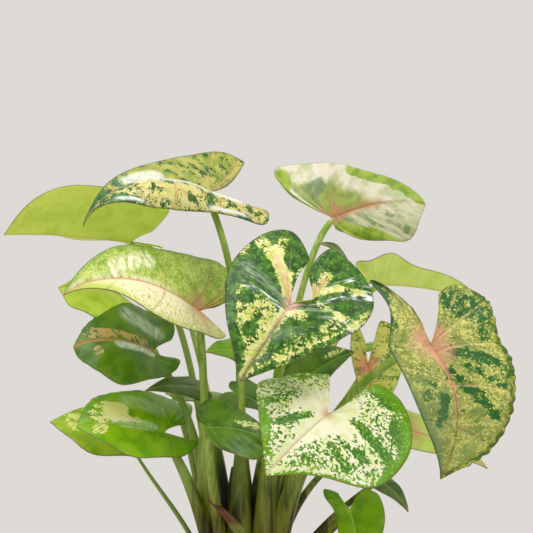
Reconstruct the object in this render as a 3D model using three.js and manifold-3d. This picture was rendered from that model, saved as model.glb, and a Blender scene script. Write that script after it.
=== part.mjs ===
// A potted dwarf arrowhead plant, built the way it grew: each heart-shaped leaf is one
// solid with its own stalk, the stalks crowd into a crown, and every stalk stands in its
// own hole in the soil of a plain tapered pot.
// Millimetres and degrees, +Z up, the front looks along -Y. The origin is the middle of
// the pot's flat underside.

import * as THREE from 'three';
import { mergeVertices } from 'three/addons/utils/BufferGeometryUtils.js';
import Module from 'manifold-3d';

const wasm = await Module();
wasm.setup();

// Driving dimensions of the pot and its soil
const POT_HEIGHT = 100;
const POT_MOUTH_RADIUS = 60;
const POT_FOOT_RADIUS = 43;
const POT_WALL = 2.5;
const POT_FLOOR = 3;
const RIM_HEIGHT = 15;
const RIM_STEP = 2.5;
const POT_SIDES = 40;
const DRAIN_COUNT = 6;
const DRAIN_RADIUS = 4;
const DRAIN_RING = 27;
const SOIL_TOP = 90;
const SOIL_DOME = 2;
const CLEARANCE = 0.5;

// Driving dimensions of the crown, where the stalks stand packed in staggered rows
const CROWN_X = -3;
const CROWN_Y = 2;
const STALK_PITCH = 6;
const ROW_PITCH = STALK_PITCH * Math.sin(Math.PI / 3);
const FOOT_DEPTH = 10;
const FOOT_SWELL = 1.45;
const SHEATH_SWELL = 1.25;
const STALK_SIDES = 6;
const SHEATH_MIDDLE = 40;
const SHEATH_HEIGHT = 75;

// Driving dimensions of the blades
const BLADE_THICKNESS = 0.8;
const MARGIN_WAVE = 1.0;
const MARGIN_WAVES = 4;
// Where a half is narrower or its veins are shorter than this, the margin waves less
const FULL_WAVE_WIDTH = 22;
// A stalk ends this deep under the blade's upper face, at this share of its own radius
const JOIN_DEPTH = 0.6;
const JOIN_TAPER = 0.6;

// Every half blade is drawn by veins that fan out to its margin. A vein's number runs from
// 1 at the notch's end to 7 at the tip, and the veins below 3.6 start where the stalk joins.
// Vein 1 follows the notch's margin, and the next veins turn away from it evenly.
const NOTCH_VEIN = 1;
const TIP_VEIN = 7;
const JUNCTION_VEIN = 3.6;
const VEIN_BOW = 13;
const NOTCH_BOW = 24;
const NOTCH_FAN = 16;
const MIDRIB_STEPS = 60;

// The leaves, seen with the tip ahead and the upper face up. "junction" is where the stalk
// joins, "tip" the leaf's end and "faces" the way its upper face looks. The blade droops
// along its midrib, by "hook" more towards the tip. Each half has its "width", the length
// "back" of the lobe behind the junction, the "fold" up from the midrib, the "curl" across
// to the margin and the "lobe" bend down of its lobe. "edge" lists margin points across and
// ahead of the junction where the heart shape isn't the plain one. "foot" is the stalk's
// row and place in the crown, "rise" and "reach" are the points that shape its curve.
const LEAVES = [
  {
    name: 'front_mottled_leaf', colour: 0x3f7a48, size: 'large',
    junction: [20, -35, 241], tip: [-4, -55, 207], faces: [0.15, -0.88, 0.45], droop: 25,
    left: { width: 38, back: 36, fold: 14, curl: -30, lobe: 10,
      edge: [[3, -14], [0, -29], [1, -43], [14, -41], [34, -25], [30, 0], [17, 24]] },
    right: { width: 38, back: 34, fold: 12, curl: -30, lobe: 15,
      edge: [[4, -14], [10, -36], [23, -38], [32, -26], [35, 0], [24, 22], [10, 37]] },
    foot: [-3, 1], rise: [8, -14.5, 150], reach: [12, -6, 215], stalk: 1.8,
  },
  {
    name: 'low_cream_leaf', colour: 0xd3dca4, size: 'large',
    junction: [37, -45, 190], tip: [8, -62, 164], faces: [0.05, -0.8, 0.6], droop: 35,
    left: { width: 46, back: 32, fold: 6, curl: -35, lobe: 0,
      edge: [[4, -6], [2, -20], [6, -32], [20, -34], [40, -18], [40, 12], [16, 29]] },
    right: { width: 40, back: 28, fold: 10, curl: -75, lobe: 45,
      edge: [[5, -12], [9, -24], [20, -29], [33, -22], [40, -2], [34, 17], [10, 36]] },
    foot: [-2, 2], rise: [12, -9, 140], reach: [32, -22, 175], stalk: 1.8,
  },
  {
    name: 'right_olive_leaf', colour: 0x8a9a5c, size: 'large',
    junction: [87, -30, 221], tip: [91, -42, 158], faces: [-0.25, -0.9, 0.25], droop: 20,
    sideways: -11,
    left: { width: 36, back: 28, fold: 10, curl: -30, lobe: 10,
      edge: [[4, -5], [4, -21], [14, -28], [28, -20], [32, 2], [27, 26], [18, 52]] },
    right: { width: 24, back: 34, fold: 25, curl: -30, lobe: 10,
      edge: [[4, -7], [6, -17], [16, -27], [26, -34], [18, -16], [20, 11], [15, 38]] },
    foot: [-1, 2], rise: [15, -5, 155], reach: [52, -8, 210], stalk: 2.2,
  },
  {
    name: 'left_cream_leaf', colour: 0xc3cc86, size: 'large',
    junction: [-25, -12, 236], tip: [-88, -40, 246], faces: [0, -0.7, 0.71], droop: 66, hook: 1,
    left: { width: 26, back: 20, fold: 10, curl: -20, lobe: -20,
      edge: [[0, -4], [4, -10], [11, -15], [14, -6], [18, 11], [14, 39], [2, 60]] },
    right: { width: 36, back: 28, fold: 20, curl: -20, lobe: -30,
      edge: [[7, -7], [10, -16], [18, -26], [28, -27], [36, -12], [26, 30], [14, 58]] },
    foot: [-1, -2], rise: [-26, -5, 145], reach: [-21, 6, 200], stalk: 2,
  },
  {
    name: 'top_spotted_leaf', colour: 0xc9c184, size: 'large',
    junction: [-22, 6, 294], tip: [-80, -28, 278], faces: [0.05, -0.1, 1], droop: 60, hook: 0.5,
    twist: 15,
    left: { width: 30, back: 34, fold: 20, curl: -90, lobe: -12,
      edge: [[4, -9], [8, -20], [15, -30], [21, -24], [21, -2], [20, 34], [10, 59]] },
    right: { width: 30, back: 30, fold: 20, curl: -10, lobe: 0,
      edge: [[6, -9], [15, -21], [28, -33], [40, -32], [37, -11], [18, 31], [8, 60]] },
    foot: [-3, -1], rise: [-5, -13, 165], reach: [3, 2, 240], stalk: 1.7,
  },
  {
    name: 'far_left_leaf', colour: 0x9dbd48, size: 'large',
    junction: [-63, 42, 267], tip: [-126, 18, 272], faces: [0, 0.25, 0.97], droop: 10,
    left: { width: 38, back: 24, fold: 35, curl: 15, lobe: 0,
      edge: [[4, -2], [9, -8], [22, -14], [32, -7], [34, 10], [32, 34], [22, 57]] },
    right: { width: 30, back: 24, fold: 15, curl: -10, lobe: 0,
      edge: [[5, -8], [9, -18], [18, -22], [27, -14], [31, 2], [26, 28], [14, 50]] },
    foot: [1, -2], rise: [-26, 19, 165], reach: [-28, 30, 235], stalk: 1.7,
  },
  {
    name: 'top_rolled_leaf', colour: 0xd6d2b0, size: 'large',
    junction: [43, 30, 280], tip: [89, 12, 287], faces: [-0.1, -0.65, 0.76], droop: 50, hook: 0.8,
    left: { width: 34, back: 34, fold: 24, curl: -15, lobe: -45,
      edge: [[9, -12], [17, -26], [27, -40], [36, -36], [36, -3], [17, 26], [6, 46]] },
    right: { width: 22, back: 10, fold: -10, curl: -40, lobe: 0,
      edge: [[3, -1], [7, 1], [12, 7], [18, 18], [22, 37], [18, 48], [8, 50]] },
    foot: [1, 0], rise: [12, 10, 180], reach: [26, 24, 268], stalk: 1.7,
  },
  {
    name: 'right_back_leaf', colour: 0xa9c45a, size: 'large',
    junction: [69, 50, 244], tip: [128, 42, 232], faces: [0.1, 0.35, 0.93], droop: 25,
    left: { width: 20, back: 18, fold: 28, curl: -10, lobe: 0,
      edge: [[4, -8], [9, -15], [16, -16], [20, -8], [20, 8], [14, 26], [7, 45]] },
    right: { width: 22, back: 20, fold: 30, curl: 10, lobe: 0,
      edge: [[0, -3], [4, -8], [13, -13], [17, -6], [20, 6], [14, 20], [9, 41]] },
    foot: [1, 1], rise: [16, 10, 170], reach: [50, 36, 238], stalk: 1.6,
  },
  {
    name: 'left_dark_leaf', colour: 0x3f7a2a, size: 'large',
    junction: [-49, 5, 213], tip: [-87, -14, 218], faces: [0, -0.65, 0.76], droop: 70, hook: 0.8,
    left: { width: 28, back: 15, fold: 5, curl: -20, lobe: -35,
      edge: [[0, -4], [0, -13], [6, -14], [16, -2], [28, 22], [21, 36], [9, 44]] },
    right: { width: 28, back: 18, fold: 12, curl: -20, lobe: -35,
      edge: [[6, -4], [12, -14], [22, -18], [34, -11], [29, 11], [16, 29], [6, 40]] },
    foot: [0, -2], rise: [-22, 6, 150], reach: [-31, 19, 190], stalk: 1.6,
  },
  {
    name: 'low_left_leaf', colour: 0x6b9a2c, size: 'large',
    junction: [-43, -4, 174], tip: [-85, -20, 179], faces: [0, -0.6, 0.8], droop: 45,
    left: { width: 24, back: 18, fold: 8, curl: -20, lobe: -15,
      edge: [[0, -4], [0, -13], [4, -18], [15, -6], [22, 17], [14, 34], [6, 41]] },
    right: { width: 28, back: 22, fold: 12, curl: -30, lobe: 0,
      edge: [[6, -7], [12, -17], [31, -26], [36, -18], [26, 10], [20, 31], [8, 42]] },
    foot: [-2, -2], rise: [-19, -12, 125], reach: [-30, -12, 152], stalk: 1.4,
  },
  {
    name: 'low_left_back_leaf', colour: 0x8fb548, size: 'small',
    junction: [-64, 25, 167], tip: [-102, 8, 177], faces: [0, -0.5, 0.87], droop: 30,
    left: { width: 20, back: 13, fold: 5, curl: -20, lobe: 0,
      edge: [[0, -5], [2, -10], [6, -13], [14, -6], [20, 12], [20, 28], [8, 38]] },
    right: { width: 20, back: 16, fold: 10, curl: -20, lobe: 0 },
    foot: [0, -3], rise: [-27, 3, 114], reach: [-50, 14, 148], stalk: 1.2,
  },
  {
    name: 'small_grey_leaf', colour: 0x5c7a58, size: 'small',
    junction: [-26, 13, 194], tip: [-52, -12, 196], faces: [0, -0.6, 0.8], droop: 30,
    left: { width: 10, back: 6, fold: 0, curl: -30, lobe: 0 },
    right: { width: 9, back: 6, fold: 15, curl: -30, lobe: 0 },
    foot: [0, -1], rise: [-12, 4, 140], reach: [-18, 13, 175], stalk: 1.3,
  },
  {
    name: 'centre_dark_leaf', colour: 0x3c6a1c, size: 'large',
    junction: [-20, -30, 181], tip: [13, -48, 176], faces: [0, -0.6, 0.8], droop: 45,
    left: { width: 24, back: 16, fold: 15, curl: -25, lobe: 0,
      edge: [[3, -6], [6, -11], [12, -14], [20, -15], [16, 4], [9, 20], [3, 34]] },
    right: { width: 18, back: 7, fold: 0, curl: -30, lobe: 0,
      edge: [[4, 1], [5, 1], [8, 5], [12, 14], [14, 28], [10, 36], [4, 39]] },
    foot: [-3, -2], rise: [-14, -14, 130], reach: [-21, -23, 160], stalk: 1.4,
  },
  {
    name: 'back_left_leaf', colour: 0xa2bf4e, size: 'small',
    junction: [-72, 62, 238], tip: [-103, 50, 242], faces: [0, -0.5, 0.87], droop: 30,
    left: { width: 23, back: 10, fold: 0, curl: -20, lobe: 0,
      edge: [[3, -4], [6, -9], [13, -10], [20, -4], [23, 8], [22, 20], [15, 30]] },
    right: { width: 16, back: 10, fold: 10, curl: -20, lobe: 0 },
    foot: [1, -3], rise: [-26, 18, 150], reach: [-42, 54, 205], stalk: 1.4,
  },
  {
    name: 'shaded_leaf', colour: 0x4b7420, size: 'small',
    junction: [25, -1, 199], tip: [51, -10, 213], faces: [0, -0.6, 0.8], droop: 30,
    left: { width: 12, back: 7, fold: 10, curl: -25, lobe: 0 },
    right: { width: 15, back: 8, fold: 5, curl: -25, lobe: 0 },
    foot: [-2, 1], rise: [6, -8.8, 145], reach: [20, -2, 178], stalk: 1.4,
  },
  {
    name: 'pink_back_leaf', colour: 0xb3b060, size: 'small',
    junction: [61, 30, 203], tip: [64, 16, 172], faces: [-0.1, -0.9, 0.3], droop: 20,
    left: { width: 20, back: 26, fold: 10, curl: -25, lobe: 0,
      edge: [[3, -8], [6, -17], [10, -24], [17, -20], [20, -6], [15, 11], [6, 25]] },
    right: { width: 8, back: 22, fold: 10, curl: -25, lobe: 0,
      edge: [[1, -6], [0, -14], [3, -24], [6, -22], [8, -10], [7, 4], [4, 20]] },
    foot: [0, 2], rise: [18, 4, 150], reach: [50, 26, 185], stalk: 1.5,
  },
  {
    name: 'low_right_leaf', colour: 0x76a01c, size: 'small',
    junction: [49, -26, 140], tip: [54, -44, 115], faces: [0, -0.85, 0.5], droop: 30,
    left: { width: 17, back: 10, fold: 15, curl: -25, lobe: 0,
      edge: [[2, -3], [5, -6], [9, -9], [15, -6], [16, 7], [12, 18], [6, 26]] },
    right: { width: 8, back: 16, fold: 15, curl: -25, lobe: 0,
      edge: [[2, -3], [4, -10], [10, -14], [11, -10], [8, 0], [8, 13], [4, 24]] },
    foot: [-2, 3], rise: [19, -10, 106], reach: [38, -20, 126], stalk: 1.3,
  },
  {
    name: 'low_right_young_leaf', colour: 0x9fb870, size: 'small',
    junction: [65, -2, 149], tip: [79, -12, 135], faces: [0.2, -0.5, 0.85], droop: 50,
    left: { width: 7, back: 5, fold: 10, curl: -25, lobe: 0 },
    right: { width: 7, back: 5, fold: 10, curl: -25, lobe: 0 },
    foot: [0, 3], rise: [20, 2, 110], reach: [50, -2, 140], stalk: 1.1,
  },
  {
    name: 'right_low_back_leaf', colour: 0xb5b86c, size: 'small',
    junction: [81, 52, 166], tip: [129, 60, 142], faces: [0, -0.4, 0.9], droop: 30,
    left: { width: 17, back: 10, fold: 20, curl: -25, lobe: 0 },
    right: { width: 13, back: 8, fold: -5, curl: -25, lobe: 0 },
    foot: [1, 2], rise: [16, 9, 142], reach: [48, 32, 160], stalk: 1.3,
  },
  {
    name: 'curled_young_leaf', colour: 0x4c7a34, size: 'small',
    junction: [51, 18, 254], tip: [34, 6, 268], faces: [0.6, -0.2, 0.8], droop: 70,
    left: { width: 9, back: 6, fold: 10, curl: -40, lobe: 0 },
    right: { width: 7, back: 6, fold: 20, curl: -20, lobe: 0 },
    foot: [0, 1], rise: [14, 6, 180], reach: [46, 14, 230], stalk: 1.2,
  },
  {
    name: 'small_back_leaf', colour: 0x86a83c, size: 'small',
    junction: [-7, 45, 209], tip: [-24, 38, 209], faces: [0, -0.5, 0.85], droop: 30,
    left: { width: 12, back: 8, fold: 10, curl: -25, lobe: 0 },
    right: { width: 11, back: 8, fold: 10, curl: -25, lobe: 0 },
    foot: [1, -1], rise: [-6, 16, 150], reach: [-6, 36, 190], stalk: 1.2,
  },
  {
    name: 'inner_dark_leaf', colour: 0x3a5c1c, size: 'small',
    junction: [-8, 10, 192], tip: [11, -4, 183], faces: [0, -0.5, 0.86], droop: 40,
    left: { width: 12, back: 8, fold: 15, curl: -25, lobe: 0 },
    right: { width: 10, back: 6, fold: 0, curl: -25, lobe: 0 },
    foot: [-1, 0], rise: [0, 0, 145], reach: [-5, 8, 172], stalk: 1.3,
  },
  {
    name: 'rear_left_leaf', colour: 0x7fa33c, size: 'small',
    junction: [-38, 66, 238], tip: [-50, 112, 230], faces: [0, 0.3, 0.95], droop: 40,
    left: { width: 24, back: 20, fold: 12, curl: -25, lobe: 10 },
    right: { width: 24, back: 20, fold: 12, curl: -25, lobe: 10 },
    foot: [2, -1], rise: [-12, 18, 160], reach: [-30, 50, 215], stalk: 1.5,
  },
  {
    name: 'rear_middle_leaf', colour: 0x8cab48, size: 'small',
    junction: [22, 60, 228], tip: [30, 108, 216], faces: [0, 0.3, 0.95], droop: 40,
    left: { width: 26, back: 22, fold: 12, curl: -25, lobe: 10 },
    right: { width: 26, back: 22, fold: 12, curl: -25, lobe: 10 },
    foot: [2, 0], rise: [4, 18, 160], reach: [16, 46, 205], stalk: 1.6,
  },
  {
    name: 'rear_right_leaf', colour: 0x7fa33c, size: 'small',
    junction: [76, 76, 208], tip: [98, 116, 196], faces: [0.1, 0.3, 0.95], droop: 40,
    left: { width: 21, back: 18, fold: 12, curl: -25, lobe: 10 },
    right: { width: 21, back: 18, fold: 12, curl: -25, lobe: 10 },
    foot: [2, 2], rise: [14, 20, 150], reach: [60, 60, 192], stalk: 1.5,
  },
  {
    name: 'rear_low_left_leaf', colour: 0x6f9434, size: 'small',
    junction: [-28, 62, 182], tip: [-42, 106, 170], faces: [0, 0.3, 0.95], droop: 40,
    left: { width: 19, back: 16, fold: 12, curl: -25, lobe: 10 },
    right: { width: 19, back: 16, fold: 12, curl: -25, lobe: 10 },
    foot: [2, -2], rise: [-16, 22, 130], reach: [-24, 48, 165], stalk: 1.4,
  },
  {
    name: 'rear_low_right_leaf', colour: 0x6f9434, size: 'small',
    junction: [34, 64, 166], tip: [48, 106, 152], faces: [0, 0.3, 0.95], droop: 40,
    left: { width: 20, back: 18, fold: 12, curl: -25, lobe: 10 },
    right: { width: 20, back: 18, fold: 12, curl: -25, lobe: 10 },
    foot: [2, 1], rise: [6, 20, 120], reach: [24, 50, 150], stalk: 1.4,
  },
];

// How finely a blade is divided along its margin and from midrib to margin
const BLADE_STEPS = {
  large: { veins: 12, across: 3, stalk: 10 },
  small: { veins: 9, across: 2, stalk: 8 },
};

const radians = THREE.MathUtils.degToRad;
const clamp = THREE.MathUtils.clamp;

function smoothRamp(value) {
  const x = clamp(value, 0, 1);
  return x * x * (3 - 2 * x);
}

// A point on the smooth curve through the listed points, at a whole number plus a fraction
function curveThrough(points, at) {
  const last = points.length - 1;
  const start = Math.min(Math.floor(at), last - 1);
  const part = at - start;
  const blend = (axis) => {
    const p1 = points[start][axis];
    const p2 = points[start + 1][axis];
    const p0 = start > 0 ? points[start - 1][axis] : 2 * p1 - p2;
    const p3 = start + 2 <= last ? points[start + 2][axis] : 2 * p2 - p1;
    const slope1 = (p2 - p0) / 2;
    const slope2 = (p3 - p1) / 2;
    return ((2 * p1 - 2 * p2 + slope1 + slope2) * part ** 3
      + (-3 * p1 + 3 * p2 - 2 * slope1 - slope2) * part ** 2 + slope1 * part + p1);
  };
  return [blend(0), blend(1)];
}

// The plain heart shape's margin, from beside the notch to the tip
function heartEdge(width, length, back) {
  const notch = 0.25 * back;
  return [
    [0.02 * width + 0.35 * notch, -0.45 * back],
    [0.10 * width + 0.75 * notch, -0.85 * back],
    [0.40 * width + 0.70 * notch, -back],
    [0.82 * width + 0.30 * notch, -0.62 * back],
    [width, 0],
    [0.80 * width, 0.36 * length],
    [0.42 * width, 0.70 * length],
  ];
}

// How far a strip of the given length goes along and up when its heading turns evenly
function turningStrip(heading, turnPerMm, length) {
  if (Math.abs(turnPerMm) < 1e-6) {
    return [length * Math.cos(heading), length * Math.sin(heading)];
  }
  const end = heading + turnPerMm * length;
  return [
    (Math.sin(end) - Math.sin(heading)) / turnPerMm,
    (Math.cos(heading) - Math.cos(end)) / turnPerMm,
  ];
}

// How vein 1 leaves the junction so that it passes the notch margin's first point, and how
// the vein at the junction's own number leaves it. Headings are from straight back.
function notchVein(edge) {
  const heading = ([x, y]) => Math.atan2(x, -y);
  const past = [0, 1].map((axis) => 2 * edge[0][axis] - edge[1][axis] / 2);
  const end = heading(edge[1]);
  const junctionHeading = heading(curveThrough(edge, JUNCTION_VEIN)) - radians(VEIN_BOW);
  const bow = clamp(heading(past) - end, -radians(NOTCH_BOW), radians(NOTCH_BOW));
  return {
    heading: Math.min(end + bow, junctionHeading - radians(NOTCH_FAN)),
    handle: clamp(Math.hypot(...past) / Math.hypot(...edge[1]), 0.35, 0.6),
    junctionHeading,
  };
}

class Blade {
  constructor(leaf) {
    const hook = leaf.hook ?? 0.3;
    this.halves = [leaf.left, leaf.right];
    this.twist = radians(leaf.twist ?? 0);
    this.sideways = leaf.sideways ?? 0;
    this.junction = new THREE.Vector3(...leaf.junction);
    this.midrib = [];
    let ahead = 0;
    let up = 0;
    for (let step = 0; step <= MIDRIB_STEPS; step += 1) {
      const u = step / MIDRIB_STEPS;
      const pitch = -radians(leaf.droop) * ((1 - hook) * u + hook * u * u);
      const previous = this.midrib[step - 1];
      if (previous) {
        ahead += (Math.cos(pitch) + Math.cos(previous.pitch)) / 2 / MIDRIB_STEPS;
        up += (Math.sin(pitch) + Math.sin(previous.pitch)) / 2 / MIDRIB_STEPS;
      }
      this.midrib.push({ pitch, ahead, up });
    }
    const chord = new THREE.Vector3(...leaf.tip).sub(this.junction);
    this.length = chord.length() / Math.hypot(ahead, up);
    chord.normalize();
    const normal = new THREE.Vector3(...leaf.faces);
    normal.addScaledVector(chord, -normal.dot(chord)).normalize();
    const lean = Math.atan2(up, ahead);
    const along = (a, b) => chord.clone().multiplyScalar(a).addScaledVector(normal, b);
    this.forward = along(Math.cos(lean), -Math.sin(lean));
    this.normal = along(Math.sin(lean), Math.cos(lean));
    this.rightward = this.forward.clone().cross(this.normal);
    this.edges = this.halves.map((half) => [
      ...(half.edge ?? heartEdge(half.width, this.length, half.back)), [0, this.length]]);
    this.notches = this.edges.map(notchVein);
  }

  // The flat place on one half, on a vein, at a share of the way to the margin, and the
  // vein's whole length
  flatPlace(half, vein, share) {
    const margin = curveThrough(this.edges[half], vein);
    const climb = clamp((vein - JUNCTION_VEIN) / (TIP_VEIN - JUNCTION_VEIN), 0, 1) ** 1.3;
    const rootY = climb * this.length;
    const reachX = margin[0];
    const reachY = margin[1] - rootY;
    const bow = radians(VEIN_BOW) * (1 - smoothRamp((vein - 4.5) / 2.5) / 2);
    const notch = this.notches[half];
    const turn = clamp((vein - NOTCH_VEIN) / (JUNCTION_VEIN - NOTCH_VEIN), 0, 1);
    const heading = vein < JUNCTION_VEIN
      ? notch.heading + (notch.junctionHeading - notch.heading) * turn
      : Math.atan2(reachX, -reachY) - bow;
    const reach = Math.hypot(reachX, reachY);
    const handle = reach * (notch.handle + (0.5 - notch.handle) * turn);
    const bendX = handle * Math.sin(heading);
    const bendY = rootY - handle * Math.cos(heading);
    const rest = 1 - share;
    return [
      2 * share * rest * bendX + share * share * margin[0],
      rest * rest * rootY + 2 * share * rest * bendY + share * share * margin[1],
      reach,
    ];
  }

  midribAt(ahead) {
    const place = clamp(ahead / this.length, 0, 1) * MIDRIB_STEPS;
    const start = Math.min(Math.floor(place), MIDRIB_STEPS - 1);
    const part = place - start;
    const mix = (key) => this.midrib[start][key] * (1 - part) + this.midrib[start + 1][key] * part;
    return { pitch: mix('pitch'), ahead: mix('ahead') * this.length, up: mix('up') * this.length };
  }

  // The upper face's point for a vein number and a share of the way to the margin
  pointAt(half, vein, share) {
    const shape = this.halves[half];
    const side = half === 0 ? -1 : 1;
    const [across, ahead, reach] = this.flatPlace(half, vein, share);
    const turn = radians(shape.curl) / shape.width;
    const [out, lift] = turningStrip(radians(shape.fold), turn, across);
    const midrib = this.midribAt(ahead);
    const lobeTurn = radians(shape.lobe) / shape.back;
    const behind = Math.max(-ahead, 0);
    const [back, drop] = turningStrip(0, -lobeTurn, behind);
    const pitch = midrib.pitch + lobeTurn * behind;
    const u = clamp(ahead / this.length, 0, 1);
    const twist = this.twist * (1 - clamp(ahead / this.length, -0.6, 1));
    const calm = Math.min(Math.min(reach, shape.width) / FULL_WAVE_WIDTH, 1);
    const wave = MARGIN_WAVE * calm * share ** 3
      * Math.sin(2 * Math.PI * MARGIN_WAVES * vein / TIP_VEIN + 1.3 * (1 - half));
    const flatOut = side * out + this.sideways * 4 * u * (1 - u);
    const sideOut = flatOut * Math.cos(twist) - lift * Math.sin(twist);
    const height = flatOut * Math.sin(twist) + lift * Math.cos(twist) + wave;
    return this.junction.clone()
      .addScaledVector(this.forward, midrib.ahead - back - height * Math.sin(pitch))
      .addScaledVector(this.normal, midrib.up + drop + height * Math.cos(pitch))
      .addScaledVector(this.rightward, sideOut);
  }
}

// The upper face as a list of points and triangles, both halves sharing the midrib
function bladeFace(blade, steps) {
  const points = [];
  const found = new Map();
  const triangles = [];
  const indexAt = (half, column, row) => {
    const vein = NOTCH_VEIN + (TIP_VEIN - NOTCH_VEIN) * column / steps.veins;
    const point = blade.pointAt(half, vein, row / steps.across);
    const key = point.toArray().map((value) => Math.round(value * 500)).join(' ');
    if (!found.has(key)) {
      found.set(key, points.length);
      points.push(point);
    }
    return found.get(key);
  };
  const addTriangle = (a, b, c) => {
    if (a !== b && b !== c && c !== a) {
      triangles.push([a, b, c]);
    }
  };
  for (const half of [0, 1]) {
    for (let column = 0; column < steps.veins; column += 1) {
      for (let row = 0; row < steps.across; row += 1) {
        const inner = indexAt(half, column, row);
        const innerNext = indexAt(half, column + 1, row);
        const outer = indexAt(half, column, row + 1);
        const outerNext = indexAt(half, column + 1, row + 1);
        if (half === 1) {
          addTriangle(inner, outer, outerNext);
          addTriangle(inner, outerNext, innerNext);
        } else {
          addTriangle(inner, outerNext, outer);
          addTriangle(inner, innerNext, outerNext);
        }
      }
    }
  }
  return { points, triangles };
}

// A closed sheet: the face, the same face pushed down by the thickness, and the rim between
function thickSheet({ points, triangles }, thickness) {
  const normals = points.map(() => new THREE.Vector3());
  const rim = new Map();
  for (const corners of triangles) {
    const [a, b, c] = corners.map((index) => points[index]);
    const area = b.clone().sub(a).cross(c.clone().sub(a));
    corners.forEach((index, turn) => {
      normals[index].add(area);
      const next = corners[(turn + 1) % 3];
      if (!rim.delete(`${next} ${index}`)) {
        rim.set(`${index} ${next}`, [index, next]);
      }
    });
  }
  const under = points.map((point, index) => (
    point.clone().addScaledVector(normals[index].normalize(), -thickness)));
  const count = points.length;
  const faces = [...triangles];
  for (const [a, b, c] of triangles) {
    faces.push([a + count, c + count, b + count]);
  }
  for (const [a, b] of rim.values()) {
    faces.push([a, a + count, b + count], [a, b + count, b]);
  }
  return { vertices: [...points, ...under], faces };
}

function solidFrom({ vertices, faces }) {
  const mesh = new wasm.Mesh({
    numProp: 3,
    vertProperties: new Float32Array(vertices.flatMap((vertex) => vertex.toArray())),
    triVerts: new Uint32Array(faces.flat()),
  });
  return new wasm.Manifold(mesh);
}

function solidOf(geometry) {
  const bare = geometry.clone();
  bare.deleteAttribute('normal');
  bare.deleteAttribute('uv');
  const merged = mergeVertices(bare, 1e-4);
  return new wasm.Manifold(new wasm.Mesh({
    numProp: 3,
    vertProperties: new Float32Array(merged.attributes.position.array),
    triVerts: new Uint32Array(merged.index.array),
  }));
}

function geometryOf(solid) {
  const { vertProperties, triVerts } = solid.getMesh();
  const geometry = new THREE.BufferGeometry();
  geometry.setAttribute('position', new THREE.BufferAttribute(vertProperties, 3));
  geometry.setIndex(new THREE.BufferAttribute(triVerts, 1));
  const shaded = geometry.toNonIndexed();
  shaded.computeVertexNormals();
  return shaded;
}

// The main body of a fused solid, without any sliver that the fuse sealed in or cut loose
function mainBody(solid) {
  return solid.decompose().reduce((main, body) => (body.volume() > main.volume() ? body : main));
}

// A closed tube with flat-sided rings: each ring has a centre, a radius and a flatness
function ringTube(rings, sides) {
  const vertices = [];
  const faces = [];
  const direction = new THREE.Vector3();
  const acrossX = new THREE.Vector3();
  const acrossY = new THREE.Vector3();
  rings.forEach((ring, index) => {
    const before = rings[Math.max(index - 1, 0)].centre;
    const after = rings[Math.min(index + 1, rings.length - 1)].centre;
    direction.subVectors(after, before).normalize();
    acrossY.set(0, 1, 0).addScaledVector(direction, -direction.y).normalize();
    acrossX.crossVectors(acrossY, direction);
    for (let side = 0; side < sides; side += 1) {
      const angle = 2 * Math.PI * (side + 0.5) / sides;
      vertices.push(ring.centre.clone()
        .addScaledVector(acrossX, ring.radius * Math.cos(angle))
        .addScaledVector(acrossY, ring.radius * (ring.flatness ?? 1) * Math.sin(angle)));
    }
  });
  const lastRing = (rings.length - 1) * sides;
  for (let ring = 0; ring < rings.length - 1; ring += 1) {
    for (let side = 0; side < sides; side += 1) {
      const a = ring * sides + side;
      const b = ring * sides + (side + 1) % sides;
      faces.push([a, b, b + sides], [a, b + sides, a + sides]);
    }
  }
  for (let side = 1; side < sides - 1; side += 1) {
    faces.push([0, side + 1, side], [lastRing, lastRing + side, lastRing + side + 1]);
  }
  return solidFrom({ vertices, faces });
}

// A stalk's place in the crown, from its row (front to back) and place (left to right)
function footPlace([row, place]) {
  const stagger = row % 2 === 0 ? 0 : 0.5;
  return [CROWN_X + STALK_PITCH * (place + stagger), CROWN_Y + ROW_PITCH * row];
}

// A stalk is widest half way up its sheath, and slim from the sheath's end to the blade
function stalkRadius(slimRadius, z) {
  const height = z - SOIL_TOP - SOIL_DOME;
  const swell = 1 + (SHEATH_SWELL - 1) * smoothRamp(height / SHEATH_MIDDLE);
  const slim = smoothRamp((height - SHEATH_MIDDLE / 2) / (SHEATH_HEIGHT - SHEATH_MIDDLE / 2));
  return slimRadius * (FOOT_SWELL * swell * (1 - slim) + slim);
}

// The stalk: straight in its hole, wide like a sheath in the crown, slim below the blade
function stalkSolid(leaf, blade, steps) {
  const [x, y] = footPlace(leaf.foot);
  const end = blade.junction.clone().addScaledVector(blade.normal, -JOIN_DEPTH);
  const curve = new THREE.CubicBezierCurve3(
    new THREE.Vector3(x, y, SOIL_TOP + SOIL_DOME),
    new THREE.Vector3(...leaf.rise),
    new THREE.Vector3(...leaf.reach),
    end,
  );
  const foot = new THREE.Vector3(x, y, SOIL_TOP - FOOT_DEPTH);
  const rings = [{ centre: foot, radius: leaf.stalk * FOOT_SWELL }];
  for (let step = 0; step <= steps; step += 1) {
    const centre = curve.getPoint(step / steps);
    const taper = step === steps ? JOIN_TAPER : 1;
    rings.push({ centre, radius: stalkRadius(leaf.stalk, centre.z) * taper });
  }
  return ringTube(rings, STALK_SIDES);
}

function leafMesh(leaf) {
  const blade = new Blade(leaf);
  const steps = BLADE_STEPS[leaf.size];
  const sheet = solidFrom(thickSheet(bladeFace(blade, steps), BLADE_THICKNESS));
  const stalk = stalkSolid(leaf, blade, steps.stalk);
  const material = new THREE.MeshStandardMaterial({ color: leaf.colour, roughness: 0.45, metalness: 0 });
  const mesh = new THREE.Mesh(geometryOf(mainBody(sheet.add(stalk))), material);
  mesh.name = leaf.name;
  return mesh;
}

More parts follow.
